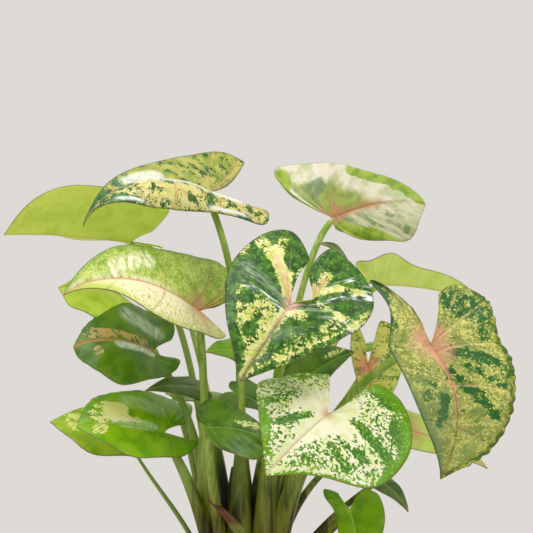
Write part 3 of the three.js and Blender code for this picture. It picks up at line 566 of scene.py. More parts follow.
# %% Flat places on a blade
def flat_places(blade, half, vein, share, scallop):
    """Flat places on one half, and the vein's length there, for grids of veins and shares."""
    margin = curve_through(blade.edges[half], vein)
    climb = np.clip((vein - JUNCTION_VEIN) / (TIP_VEIN - JUNCTION_VEIN), 0, 1)
    turn = np.clip((vein - NOTCH_VEIN) / (JUNCTION_VEIN - NOTCH_VEIN), 0, 1)
    root = climb ** VEIN_CLIMB * blade.length
    reach_x = margin[..., 0]
    reach_y = margin[..., 1] - root
    cut = 1 + scallop / np.maximum(np.hypot(reach_x, reach_y), SHORTEST_VEIN)
    reach_x = reach_x * cut
    reach_y = reach_y * cut
    reach = np.hypot(reach_x, reach_y)
    easing = smooth_ramp((vein - EASING_VEIN) / (TIP_VEIN - EASING_VEIN))
    bow = VEIN_BOW * (1 - easing / 2)
    first, handle, at_junction = blade.notches[half]
    heading = np.where(vein < JUNCTION_VEIN, first + (at_junction - first) * turn,
                       np.arctan2(reach_x, -reach_y) - bow)
    length = reach * (handle + (0.5 - handle) * turn)
    bend_x = length * np.sin(heading)
    bend_y = root - length * np.cos(heading)
    rest = 1 - share
    across = 2 * share * rest * bend_x + share**2 * reach_x
    ahead = rest**2 * root + 2 * share * rest * bend_y + share**2 * (root + reach_y)
    depth, middle = blade.halves[half]["sinus"]
    behind = smooth_ramp(-ahead / middle) * (1 - smooth_ramp((-ahead - middle) / (2 * middle)))
    across = across + depth * behind * np.exp(-np.maximum(across, 0) / SINUS_REACH)
    return across, ahead, reach


first_blade = Blade(LEAVES[0])
tip_vein = np.array([TIP_VEIN])
at_margin = np.array([1.0])
flat_tip = flat_places(first_blade, 0, tip_vein, at_margin, 0)
print("the first flat tip is", flat_tip[1].round(1), "mm ahead of the junction")

# %% [markdown]
# ### Bending the flat blade
# The living blade droops along its midrib, rises and rolls on both sides of it, and waves
# at its margin. Bending it with modifiers one after the other would stretch it, so each
# bend is an arc that keeps the length, and the arcs are added up point by point.

# %% Points of a bent blade
def lifted(blade, half, vein, share, flat, raised):
    """The upper face's points over flat places, with the tissue raised by the given height."""
    across, ahead, reach = flat
    shape = blade.halves[half]
    side = 1 if half else -1
    turn = math.radians(shape["curl"]) / shape["width"]
    out, lift = turning_strip(math.radians(shape["fold"]), turn, across)
    along = np.clip(ahead / blade.length, 0, 1)
    steps = np.arange(MIDRIB_STEPS + 1)
    pitch, forth, rise = (np.interp(along * MIDRIB_STEPS, steps, line)
                          for line in (blade.pitches, blade.ahead, blade.up))
    lobe_turn = math.radians(shape["lobe"]) / shape["back"]
    behind = np.maximum(-ahead, 0)
    rear, drop = turning_strip(0, -lobe_turn, behind)
    pitch = pitch + lobe_turn * behind
    untwisted = np.clip(ahead / blade.length, -0.6, 1)
    twist = math.radians(blade.leaf["twist"]) * (1 - untwisted)
    calm = np.minimum(np.minimum(reach, shape["width"]) / FULL_WAVE_WIDTH, 1)
    wave = MARGIN_WAVE * calm * share**3 * np.sin(
        2 * math.pi * MARGIN_WAVES * vein / TIP_VEIN + WAVE_SHIFT * (1 - half))
    flat_out = side * out + blade.leaf["sideways"] * 4 * along * (1 - along)
    side_out = flat_out * np.cos(twist) - lift * np.sin(twist)
    height = flat_out * np.sin(twist) + lift * np.cos(twist) + wave + raised
    forward_out = forth * blade.length - rear - height * np.sin(pitch)
    upward_out = rise * blade.length + drop + height * np.cos(pitch)
    shift = (forward_out[..., None] * np.array(blade.forward)
             + upward_out[..., None] * np.array(blade.normal)
             + side_out[..., None] * np.array(blade.rightward))
    return np.array(blade.junction) + shift


bent_tip = lifted(first_blade, 0, tip_vein, at_margin, flat_tip, 0)
print("the first bent tip is at", bent_tip.round(1), "and the table says", LEAVES[0]["tip"])

# %% [markdown]
# ## The blade's mesh
# A leaf's tissue swells a little between its veins and sinks along the midrib. A sculpted relief
# would do, but heights that follow the grid's lines stay true on every leaf. The lines also carry
# three facts for the paint: the place on the flattened blade, the vein's number with the room
# between veins, and the distance in from the margin. They are stored on the corners of faces,
# because at the junction many veins meet in one point.

# %% The relief and the teeth of a blade
GROOVE_WIDTH = 0.9
GROOVE_DEPTH = 0.35
FULL_QUILT_REACH = 25
TEETH_FADE = 0.4
TOOTH_LIFT = 0.6


def raised_tissue(quilt, vein, share, across, ahead, reach, length):
    """Tissue that swells between the veins, with a groove along the midrib, in millimetres."""
    room = np.clip(reach / FULL_QUILT_REACH, 0, 1)
    swell = np.sin(math.pi * vein) ** 2 * np.sin(math.pi * np.clip(share, 0, 1) ** 0.8) ** 0.8
    groove = np.exp(-(across / GROOVE_WIDTH) ** 2) * (ahead > -1)
    groove = groove * np.clip(1.1 - ahead / length, 0, 1)
    return quilt * room * swell - GROOVE_DEPTH * groove


def scalloped(cuts, half, vein):
    """Small round teeth along named stretches of the margin, in millimetres."""
    depth = np.zeros_like(vein)
    for side, start, end, size, count in cuts:
        if side == half:
            inside = smooth_ramp((vein - start) / TEETH_FADE)
            inside = inside * smooth_ramp((end - vein) / TEETH_FADE)
            uneven = 0.6 + 0.4 * np.sin(2.3 * count * vein) * np.sin(1.1 * count * vein)
            teeth = np.abs(np.sin(math.pi * count * (vein - start)))
            depth = depth + size * inside * uneven * teeth
    return depth


print("teeth in mm:", scalloped([(0, 2, 6, 1, 4)], 0, np.array([1.5, 4.1])).round(2))

# %% From grid to mesh
GRID = {"large": (216, 30), "small": (66, 20)}
BLADE_DEPTH = 0.5 * MM
PLAIN_QUILT = (0.35, 0.35)


def half_grid(blade, half, look, seed):
    """One half's points, flat places, facts and faces, in rows."""
    columns, rows = GRID[blade.leaf["size"]]
    vein = np.linspace(NOTCH_VEIN, TIP_VEIN, columns + 1)[:, None] + np.zeros((1, rows + 1))
    share = np.linspace(0, 1, rows + 1)[None, :] + np.zeros((columns + 1, 1))
    teeth = scalloped(look.get("teeth", ()), half, vein)
    flat = flat_places(blade, half, vein, share, teeth)
    across, ahead, reach = flat
    quilt = look.get("quilt", PLAIN_QUILT)[half]
    raised = raised_tissue(quilt, vein, share, across, ahead, reach, blade.length)
    points = lifted(blade, half, vein, share, flat, raised + TOOTH_LIFT * teeth * share**6)
    place = np.stack([across, ahead], -1)
    by_vein = np.gradient(place, vein[:, 0], axis=0)
    by_share = np.gradient(place, share[0], axis=1)
    area = np.abs(by_vein[..., 0] * by_share[..., 1] - by_vein[..., 1] * by_share[..., 0])
    room = area / np.maximum(np.linalg.norm(by_share, axis=-1), 0.1)
    margin_run = np.linalg.norm(by_vein[:, -1:], axis=-1)
    inset = (1 - share) * area[:, -1:] / np.maximum(margin_run, 0.5)
    side = 1 if half else -1
    flats = np.stack([side * across, ahead, np.full_like(across, seed)], -1)
    facts = np.stack([vein, room, inset], -1)
    first = half * vein.size + np.arange(columns)[:, None] * (rows + 1) + np.arange(rows)
    ring = [first, first + rows + 1, first + rows + 2, first + 1]
    quads = np.stack(ring if half == 0 else ring[::-1], -1)
    return [table.reshape(-1, table.shape[-1]) for table in (points, flats, facts, quads)]


def placed(name, mesh):
    made = bpy.data.objects.new(name, mesh)
    scene.collection.objects.link(made)
    return made


def blade_object(leaf, look, materials, seed):
    """The blade of one leaf as a smooth thin sheet."""
    blade = Blade(leaf)
    halves = [half_grid(blade, half, look, seed) for half in (0, 1)]
    points, flats, facts, quads = (np.concatenate(tables) for tables in zip(*halves))
    _, keep, merged = np.unique(np.round(points, 3), axis=0, return_index=True, return_inverse=True)
    merged = merged.ravel()
    faces, corners = [], []
    for quad in quads:
        ring = [corner for turn, corner in enumerate(quad)
                if merged[corner] != merged[quad[turn - 1]]]
        if len(ring) > 2:
            faces.append([int(merged[corner]) for corner in ring])
            corners.extend(ring)
    mesh = bpy.data.meshes.new(leaf["name"] + "_blade")
    mesh.from_pydata([tuple(p) for p in points[keep] * MM], [], faces)
    for name, values in (("flat", flats), ("veins", facts)):
        stored = mesh.attributes.new(name, "FLOAT_VECTOR", "CORNER")
        stored.data.foreach_set("vector", values[corners].astype(np.float32).ravel())
    mesh.polygons.foreach_set("use_smooth", [True] * len(faces))
    for material in materials:
        mesh.materials.append(material)
    made = placed(mesh.name, mesh)
    thick = made.modifiers.new("thickness", "SOLIDIFY")
    thick.thickness = BLADE_DEPTH
    thick.offset = -1
    thick.material_offset = 1
    thick.material_offset_rim = 2
    return made


print("faces on a large half blade:", math.prod(GRID["large"]))

# %% [markdown]
# ## The stalks
# A stalk is a round stem that widens into a sheath near the soil. A bevelled curve could make
# one, but then each would be an object of its own kind. Here each is a line of points with a
# girth at every point, and one small node group turns any such line into a skin.

# %% A geometry node group in the making
class Growth(Tree):
    """A geometry node group with named inputs, which ends in plain mesh of one material."""

    def __init__(self, name, kinds):
        super().__init__(bpy.data.node_groups.new(name, "GeometryNodeTree"))
        self.sockets = {title: self.socket(title, "INPUT", kind) for title, kind in kinds.items()}
        given = self.tree.nodes.new("NodeGroupInput")
        self.given = {title: Socket(self, given.outputs[title]) for title in kinds}

    def socket(self, title, way, kind):
        kind = "NodeSocket" + kind
        return self.tree.interface.new_socket(title, in_out=way, socket_type=kind).identifier

    def ended(self, title, grown):
        self.socket(title, "OUTPUT", "Geometry")
        plain = self.node("GeometryNodeRealizeInstances", None, {"Geometry": grown})
        painted = self.node("GeometryNodeSetMaterial", None,
                            {"Geometry": plain, "Material": self.given["Finish"]})
        self.node("NodeGroupOutput", None, {title: painted})
        return self

    def grown(self, made, **values):
        """The object with the group's result as its plain mesh."""
        grow = made.modifiers.new(self.tree.name, "NODES")
        grow.node_group = self.tree
        for title, value in values.items():
            grow[self.sockets[title.replace("_", " ")]] = value
        return settled(made)


def settled(made):
    """The object with its modifiers' result as its plain mesh."""
    graph = bpy.context.evaluated_depsgraph_get()
    mesh = bpy.data.meshes.new_from_object(made.evaluated_get(graph))
    made.modifiers.clear()
    made.data = mesh
    return made


print("a growth can", [name for name in vars(Growth) if name[0] != "_"])

# %% A node group that grows a skin round a line
SKIN_SIDES = 16


def skin_growth():
    group = Growth("skin_round_a_line", {"Line": "Geometry", "Sides": "Int", "Finish": "Material"})
    line = group.node("GeometryNodeMeshToCurve", None, {"Mesh": group.given["Line"]})
    girth = group.node("GeometryNodeInputNamedAttribute", {"data_type": "FLOAT"},
                       {"Name": "girth"}, "Attribute")
    ring = group.node("GeometryNodeCurvePrimitiveCircle", None,
                      {"Resolution": group.given["Sides"], "Radius": 1})
    skin = group.node("GeometryNodeCurveToMesh", None,
                      {"Curve": line, "Profile Curve": ring, "Scale": girth, "Fill Caps": True})
    return group.ended("Skin", group.node("GeometryNodeSetShadeSmooth", None, {"Geometry": skin}))


SKIN = skin_growth()


def skin(name, line, girths, material):
    """A smooth skin round a line of points in millimetres."""
    mesh = bpy.data.meshes.new(name)
    steps = len(line)
    mesh.from_pydata([tuple(p * MM) for p in line], [(i, i + 1) for i in range(steps - 1)], [])
    stored = mesh.attributes.new("girth", "FLOAT", "POINT")
    stored.data.foreach_set("value", np.array(girths, np.float32) * MM)
    return SKIN.grown(placed(name, mesh), Sides=SKIN_SIDES, Finish=material)


def bezier(points, share):
    """Points on a curve with four handles, for shares from 0 to 1."""
    a, b, c, d = (np.array(p, float) for p in points)
    t = share[:, None]
    return a * (1 - t)**3 + b * 3 * t * (1 - t)**2 + c * 3 * t**2 * (1 - t) + d * t**3


print("nodes in the skin group:", len(SKIN.tree.nodes))

# %% A stalk's place and girth
SOIL_TOP = 90
SOIL_DOME = 2
CROWN = (-3, 2)
STALK_PITCH = 6
ROW_PITCH = STALK_PITCH * math.sin(math.pi / 3)
FOOT_DEPTH = 6
STALK_STEPS = 60
NECK_DEPTH = 0.9
NECK_START = 0.94
NECK_TAPER = 0.45
SHEATH_GIRTH = 1.45
SHEATH_SWELL = 0.25
SHEATH_SWELL_HEIGHT = 40
SLIM_FROM = 20
SLIM_RUN = 55
WRAP_UP_TO = 62
WRAP_RUN = 36


def foot_place(row_and_place):
    row, place = row_and_place
    return (CROWN[0] + STALK_PITCH * (place + 0.5 * (row % 2)), CROWN[1] + ROW_PITCH * row)


def stalk_girth(slim, z, sheath):
    """A stalk's radius: wide like a sheath in the crown, slim below the blade."""
    height = z - SOIL_TOP - SOIL_DOME
    swell = SHEATH_GIRTH * (1 + SHEATH_SWELL * smooth_ramp(height / SHEATH_SWELL_HEIGHT))
    share = smooth_ramp((height - SLIM_FROM) / SLIM_RUN)
    wide = 1 + (sheath - 1) * (1 - smooth_ramp((height - WRAP_UP_TO) / WRAP_RUN))
    return slim * (swell * (1 - share) + share) * wide


def stalk_object(leaf, material):
    blade = Blade(leaf)
    x, y = foot_place(leaf["foot"])
    soil_z = SOIL_TOP + SOIL_DOME
    end = np.array(blade.junction) - np.array(blade.normal) * NECK_DEPTH
    share = np.linspace(0, 1, STALK_STEPS)
    line = bezier(((x, y, soil_z), leaf["rise"], leaf["reach"], end), share)
    girths = stalk_girth(leaf["stalk"], line[:, 2], leaf["sheath"])
    girths = girths * (1 - NECK_TAPER * smooth_ramp((share - NECK_START) / (1 - NECK_START)))
    line = np.vstack([[x, y, soil_z - FOOT_DEPTH], line])
    girths = np.concatenate([[girths[0]], girths])
    return skin(leaf["name"] + "_stalk", line, girths, material)


print("a leaf's foot:", [round(v, 2) for v in foot_place((-3, 1))])

# %% [markdown]
# ## The blades' finishes
# Variegation in this plant comes in small angular patches, because whole groups of cells lack
# green. A picture could be wrapped round each blade, but a rule keeps its grain at any size: a
# pale patch is where a soft field, drawn along veins and margins, is pushed over its limit by
# the random value of a small cell. Veins draw pale or pink lines over that, and every margin
# ends in a thin dark line.

# %% One class for all blade finishes
SEED_SPACING = 37
HALF_SPACING = 11
BEHIND_JUNCTION = 50
GLARE = (236, 242, 238)
LATERAL_WIDTH = 0.55
EDGE_WIDTH = 0.45
LEAF_SCATTER = (0.7, 1.0, 0.3)


class BladeFinish(Finish):
    """A blade's paint, with the facts of the grid at hand."""

    def __init__(self, name):
        super().__init__(name)
        self.across, self.ahead, seed = self.parts(self.attribute("flat"))
        self.number, self.room, self.inset = self.parts(self.attribute("veins"))
        self.depth = seed * SEED_SPACING
        self.place = self.point(self.across, self.ahead, self.depth)
        self.junction = (self.across * self.across + self.ahead * self.ahead) ** 0.5
        nearest = ((self.number + 0.5).maths("FRACT", self.number + 0.5) - 0.5).absolute()
        self.lateral = nearest * self.room
        self.midrib = self.across.absolute() + (0 - self.ahead).ramp(0, 2) * BEHIND_JUNCTION
        self.right = self.across.ramp(-0.5, 0.5)
        self.left = 1 - self.right

    def speckle(self, size):
        """A random value from 0 to 1 for each small cell."""
        return self.parts(self.cells(self.place, size, "Color"))[0]

    def blocks(self, size, cloud):
        """Clouds with blocky outlines."""
        return self.noise(self.cells(self.place, size, "Position"), cloud / size)

    def streaks(self, across_veins, along_veins, size=1.0):
        """Clouds drawn out along the veins."""
        return self.noise(self.point(self.number * across_veins, self.inset * along_veins,
                                     self.depth + self.right * HALF_SPACING), size)

    def patches(self, *ovals):
        """The sum of ovals on the flattened blade: across, ahead, width, length, strength."""
        total = 0
        for x, y, width, length, strength in ovals:
            far = (((self.across - x) / width) ** 2 + ((self.ahead - y) / length) ** 2) ** 0.5
            total = total + (1 - far.ramp(0.4, 1)) * strength
        return total

    def stripes(self, *lines):
        """The sum of lines from one flat place to another: x, y, x, y, width, strength."""
        total = 0
        for x, y, end_x, end_y, width, strength in lines:
            run_x, run_y = end_x - x, end_y - y
            square = run_x * run_x + run_y * run_y
            from_x, from_y = self.across - x, self.ahead - y
            part = from_x * (run_x / square) + from_y * (run_y / square)
            part = part.maths("MINIMUM", part.maths("MAXIMUM", part, 0), 1)
            off_x, off_y = from_x - part * run_x, from_y - part * run_y
            off = (off_x * off_x + off_y * off_y) ** 0.5
            total = total + (1 - off.ramp(width * 0.3, width)) * strength
        return total

    def vein(self, number, width):
        """1 on the vein with this number, falling to 0 at this many vein numbers from it."""
        return (self.number - number).bell(width)

    def two_tone(self, first, second, size, low=0.4, high=0.65):
        return self.mix(first, second, self.noise(self.place, size).ramp(low, high))

    def finished(self, colour, rib, rib_width, rib_reach, glow, lines, rough, ridge=0.12,
                 edge=(112, 66, 44), shine=0.0, glare=None, glow_through=(0, 0, 0)):
        """Adds the ribs, the glow round the junction, the glare, the edge line and the relief."""
        ribs = self.midrib.bell(rib_width + 0.4) * (1 - self.ahead.ramp(rib_reach * 0.5, rib_reach))
        laterals = self.lateral.bell(LATERAL_WIDTH) * lines * self.inset.ramp(1, 5)
        ribs = ribs.maths("MAXIMUM", ribs, laterals)
        ribs = ribs.maths("MAXIMUM", ribs, self.junction.bell(glow) * 0.9)
        colour = self.mix(colour, rib, ribs)
        if glare is not None:
            colour = self.mix(colour, GLARE, glare)
        colour = self.mix(colour, edge, self.inset.bell(EDGE_WIDTH) * 0.8)
        relief = self.midrib.bell(1.3) * -0.25 - self.lateral.bell(1.0) * ridge
        relief = relief + self.cells(self.place, 1.0) * 0.09 + self.noise(self.place, 3.0) * 0.15
        return self.surface(
            Base_Color=colour, Roughness=rough, Normal=self.bump(relief),
            Specular_IOR_Level=0.3, Coat_Weight=shine, Coat_Roughness=0.2, Subsurface_Weight=0.3,
            Subsurface_Radius=LEAF_SCATTER, Subsurface_Scale=0.0015,
            Emission_Color=paint(*glow_through), Emission_Strength=float(any(glow_through)))


FINISHES = {}


def ready(name, material):
    FINISHES[name] = material
    print(name, "finish:", len(material.node_tree.nodes), "nodes")


print("a blade's finish can use", [name for name in vars(BladeFinish) if name[0] != "_"])

# %% [markdown]
# ### The front leaf
# Deep green, with cream that gathers along the veins and breaks up into small blocks. The
# cream is placed by named stripes and patches, because no noise would put it on these veins,
# and the blocks of the clouds break its outline. Pale glare lies on the swellings at the left.

# %% The front leaf's finish
def mottled_finish():
    f = BladeFinish("mottled_leaf")
    drive = f.stripes(
        (4, -4, 20, -19, 5, 0.62), (20, -19, 30, -24, 6, 0.45), (19, -19, 21, -30, 5, 0.42),
        (-5, -9, -7, -25, 4.5, 0.5), (-5, -9, -15, -21, 3, 0.5), (-15, -21, -27, -27, 2.8, 0.5),
        (-11, -7, -24, -8, 2.6, 0.44), (-24, -7, -20, 3, 4, 0.4))
    drive = drive + f.patches(
        (9, -13, 4, 5, 0.45), (33, -16, 9, 9, 0.12), (36, -14, 5, 8, 0.3), (-34, -14, 5, 12, 0.36),
        (-30, -8, 6, 6, 0.3), (-6, 4, 7, 5, 0.42), (-14, 14, 9, 8, 0.3), (-10, 8.5, 6, 4, -0.35),
        (-3, 19, 3, 5, -0.35), (10, 23, 4, 6, -0.5), (20, 10, 5, 5, -0.3))
    dots = f.number.ramp(4.3, 4.9) * (1 - f.inset.ramp(6, 10))
    dots = (f.inset - 3.6).bell(2.6) * dots * 0.3 + (f.speckle(1.3) - 0.5) * dots * 0.6
    drive = drive + f.left * (dots + f.patches((-9, 26, 6, 9, 0.3)))
    inner = f.number.ramp(4.1, 4.5) * f.inset.ramp(2, 7) * 0.41 + f.number.ramp(5.6, 6.2) * 0.12
    drive = drive + f.right * (inner + f.patches((5, -18, 3, 6, 0.45)))
    drive = drive + f.midrib.bell(4.2) * f.ahead.ramp(-2, 6) * 0.52
    field = drive + (f.blocks(0.8, 3.4) - 0.5) * 0.8 + (f.speckle(1.0) - 0.5) * 0.34
    cream = f.two_tone((226, 220, 154), (194, 202, 96), 4.0)
    green = f.two_tone((28, 72, 12), (70, 122, 24), 4.0, 0.35, 0.7)
    green = f.mix(green, (104, 152, 40), f.speckle(1.1).ramp(0.82, 0.9) * 0.7)
    green = f.mix(green, (140, 172, 50), field.ramp(0.24, 0.36) * 0.6)
    colour = f.mix(green, cream, field.ramp(0.36, 0.41))
    pink = f.stripes((4, -4, 20, -19, 3, 0.6), (-5, -9, -7, -22, 3, 0.6))
    pink = pink * (1 - f.junction.ramp(22, 36)) * f.noise(f.place, 3.0).ramp(0.3, 0.6)
    colour = f.mix(colour, (214, 166, 128), pink)
    olive = f.midrib.bell(3.4) * f.ahead.ramp(4, 14) * f.streaks(34, 0.3).ramp(0.42, 0.56)
    colour = f.mix(colour, (122, 128, 62), olive * 0.8)
    colour = f.mix(colour, (100, 100, 46), f.midrib.bell(1.0) * f.ahead.ramp(4, 12) * 0.8)
    swellings = f.vein(3.42, 0.12) * f.inset.ramp(3, 8) + f.vein(3.85, 0.12)
    swellings = swellings + f.vein(4.3, 0.16) * (1 - f.junction.ramp(12, 26))
    outer = f.vein(4.62, 0.14) * f.inset.ramp(4, 9) * f.junction.ramp(12, 20) * 0.6
    glare = f.left * (swellings + outer) + f.right * f.vein(4.25, 0.13) * f.inset.ramp(6, 12)
    glare = glare + f.patches((-35, -4, 8, 10, 0.6), (-31, -30, 9, 5, 0.6))
    sheen = f.vein(3.9, 0.25) * f.right * f.inset.ramp(2, 9) * f.streaks(20, 0.1).ramp(0.3, 0.7)
    glare = glare * f.streaks(16, 0.16).ramp(0.46, 0.6) * 0.85 + sheen * 0.3
    return f.finished(colour, (214, 152, 130), rib_width=0.5, rib_reach=16, glow=7, lines=0.08,
                      rough=0.3, ridge=0.3, shine=0.15, glare=glare)


ready("mottled", mottled_finish())

# %% [markdown]
# ### The low leaf
# Cream all over with a green margin, fine speckles and dark blotches on its outer half. It is
# the front leaf's rule turned round: the field starts high, and the listed places push it down.

# %% The low leaf's finish
def cream_finish():
    f = BladeFinish("cream_leaf")
    drive = 0.3 + f.inset.ramp(0.5, 7) * 0.24 + f.midrib.bell(7) * 0.34
    drive = drive + (1 - f.junction.ramp(8, 22)) * 0.45
    rim = (f.inset - 2.6).bell(2.2) * f.number.ramp(4.8, 5.2) * 0.42
    drive = drive + f.left * (rim - f.inset.bell(2) * 0.2 - f.ahead.ramp(8, 24) * 0.14)
    drive = drive - f.patches((-14, -34, 15, 12, 0.9), (-33, -22, 13, 12, 0.6),
                              (-41, -6, 5, 18, 0.4), (-25, 5, 5, 3.6, 0.6))
    drive = drive - f.stripes(
        (-12, -6.5, -35, -5.5, 3.8, 0.7), (-10, 8, -28, 5.5, 2.6, 0.4), (-12, 12, -26, 15, 3, 0.4),
        (5, 6.5, 13, 19, 3.2, 0.8), (20, 3, 25, 14, 4, 0.3), (12, 31, 22, 22, 6, 0.35))
    drive = drive - (f.streaks(12, 0.22) - 0.4).ramp(0, 0.2) * 0.2
    field = drive + (f.speckle(1.05) - 0.5) * 0.72
    pale = f.two_tone((228, 228, 196), (214, 222, 160), 5.0)
    green = f.mix((98, 150, 0), (52, 112, 0), f.inset.ramp(3, 9))
    green = f.mix(green, (140, 184, 60), f.speckle(0.6).ramp(0.75, 0.95))
    green = f.mix(green, (188, 206, 118), field.ramp(0.26, 0.36) * 0.4)
    colour = f.mix(green, pale, field.ramp(0.34, 0.39))
    # Painted sheen: a grey-green haze of reflected light along the right half's veins, away from
    # the junction.
    painted_grey_sheen = f.vein(3.7, 0.75) * f.right * f.streaks(22, 0.3).ramp(0.4, 0.58) * f.junction.ramp(9, 18)
    colour = f.mix(colour, (126, 156, 98), painted_grey_sheen * 0.75)
    return f.finished(colour, (204, 158, 118), rib_width=0.1, rib_reach=60, glow=5, lines=0.2,
                      rough=0.4, edge=(150, 80, 60), shine=0.05)


ready("cream", cream_finish())

# %% [markdown]
# ### The left leaf
# Yellow-green behind its midrib and cream before it, with a few dark blocks. Each half has a
# paint of its own, and the side of the midrib chooses between them.

# %% The left leaf's finish
def half_cream_finish():
    f = BladeFinish("half_cream_leaf")
    fine = (f.speckle(0.7) - 0.5) * 0.5 + f.noise(f.place, 7.0)
    far_half = f.mix((128, 164, 42), (200, 212, 112), fine.ramp(0.25, 0.75))
    # Painted highlight: near-white along the far half beside the midrib and on a ridge near its
    # tip, where it faces the light.
    ridge = f.stripes((6, 52, 12, 36, 6, 1)) + f.midrib.bell(4) * f.ahead.ramp(10, 30)
    far_half = f.mix(far_half, (240, 240, 200), ridge * f.streaks(12, 0.2).ramp(0.3, 0.6))
    far_half = f.mix(far_half, (96, 148, 44), f.inset.bell(3) * 0.6)
    near = 0.62 + f.midrib.bell(7) * 0.3 + (f.speckle(0.8) - 0.5) * 0.7 - f.lateral.bell(1.2) * 0.15
    near_half = f.mix((176, 184, 84), (236, 228, 188), near.ramp(0.2, 0.6))
    greener = f.inset.bell(5) * 0.6 + f.ahead.ramp(40, 60) * f.inset.bell(14) * 0.6
    near_half = f.mix(near_half, (182, 196, 84), greener)
    dark = (f.blocks(0.8, 2.6) - f.midrib.bell(9) * 0.3).ramp(0.68, 0.71)
    near_half = f.mix(near_half, (60, 116, 60), dark * 0.8)
    colour = f.mix(far_half, near_half, f.left)
    rose = f.lateral.bell(1.3) * (1 - f.junction.ramp(14, 40)) * f.right
    colour = f.mix(colour, (196, 136, 96), rose * 0.5)
    return f.finished(colour, (214, 152, 122), rib_width=0.4, rib_reach=110, glow=15, lines=0.4,
                      rough=0.4, ridge=0.25, edge=(84, 54, 36))


ready("half_cream", half_cream_finish())

# %% [markdown]
# ### The right leaf
# Olive with dark blotches between the veins, rose along them, and a crinkled yellow-green
# margin on the left. The blotches are drawn where the photograph has them, and streaks along
# the veins pull their outlines out.

# %% The right leaf's finish
def olive_finish():
    f = BladeFinish("olive_leaf")
    base = f.two_tone((164, 166, 90), (134, 148, 72), 7.0)
    lit = (f.speckle(0.9) * 0.5 + f.noise(f.place, 6.0)).ramp(0.76, 0.9)
    base = f.mix(base, (208, 204, 112), lit * (1 - f.ahead.ramp(20, 45) * 0.3))
    base = f.mix(base, (96, 132, 60), f.speckle(0.7).ramp(0.66, 0.86) * 0.6)
    blotch = f.stripes(
        (-9, 4, -24, 9.5, 5, 0.4), (-1, 14, -18, 35, 4.6, 0.42), (5, 26, 8, 38, 3.6, 0.45),
        (-12, 12, -24, 22, 3, 0.32), (8, 17, 13, 26, 4, 0.28), (28, -33, 18, -10, 4.5, 0.36))
    blotch = blotch + f.patches(
        (-19, -17, 15, 10, 0.36), (-27, -6, 5, 9, 0.34), (-8, -24, 8, 8, 0.36),
        (-28, 16, 5, 7, 0.28), (24, -27, 9, 12, 0.42))
    blotch = blotch + (f.streaks(10, 0.24, 1.1) - 0.5) * 0.7 + (f.blocks(0.85, 2.6) - 0.5)
    blotch = blotch + (f.speckle(0.8) - 0.5) * 0.4 - f.lateral.bell(1.5) * 0.2
    blotch = blotch - f.ahead.ramp(36, 48) * 0.3
    colour = f.mix(base, (56, 112, 30), blotch.ramp(0.22, 0.27))
    colour = f.mix(colour, (26, 84, 40), blotch.ramp(0.36, 0.46) * 0.8)
    shade = f.right * f.inset.bell(6) * f.number.ramp(4.2, 5) * 0.7
    shade = shade + f.patches((12, 34, 11, 26, 0.5))
    colour = f.mix(colour, (104, 128, 84), shade * 0.7)
    rose = f.lateral.bell(1.5) * 0.4 * f.junction.ramp(2, 5) + f.midrib.bell(2.6) * 0.7
    rose = rose * (1 - f.junction.ramp(22, 60)) + (1 - f.junction.ramp(5, 16)) * 0.7
    rose = rose * f.speckle(0.6).ramp(-0.6, 0.8) * f.inset.ramp(1, 6)
    colour = f.mix(colour, (218, 160, 132), rose.ramp(0.1, 0.9) * 0.9)
    colour = f.mix(colour, (120, 74, 56), f.midrib.bell(0.5) * f.ahead.ramp(8, 30) * 0.7)
    crinkle = f.inset.bell(4.6) * f.left * f.number.ramp(2.2, 2.8)
    colour = f.mix(colour, (176, 164, 36), crinkle * f.speckle(1.6).ramp(0.5, 0.6) * 0.8)
    lumps = f.noise(f.point(f.number * 9, f.inset * 0.45, f.depth), 1.2, 1.0).ramp(0.38, 0.5)
    colour = f.mix(colour, (50, 94, 20), crinkle.ramp(0.2, 0.7) * lumps * 0.85)
    colour = f.mix(colour, (40, 100, 54), f.right * f.inset.bell(1.6) * 0.7)
    return f.finished(colour, (206, 148, 120), rib_width=0.2, rib_reach=24, glow=6, lines=0.1,
                      rough=0.45, ridge=0.3, edge=(80, 60, 34))


ready("olive", olive_finish())

# %% [markdown]
# ### The top left leaf
# Tan-cream with dark green spots near the viewer, and yellow-green on the half that falls away
# behind. The spots are blocky clouds over a limit, with a few named places where they gather.

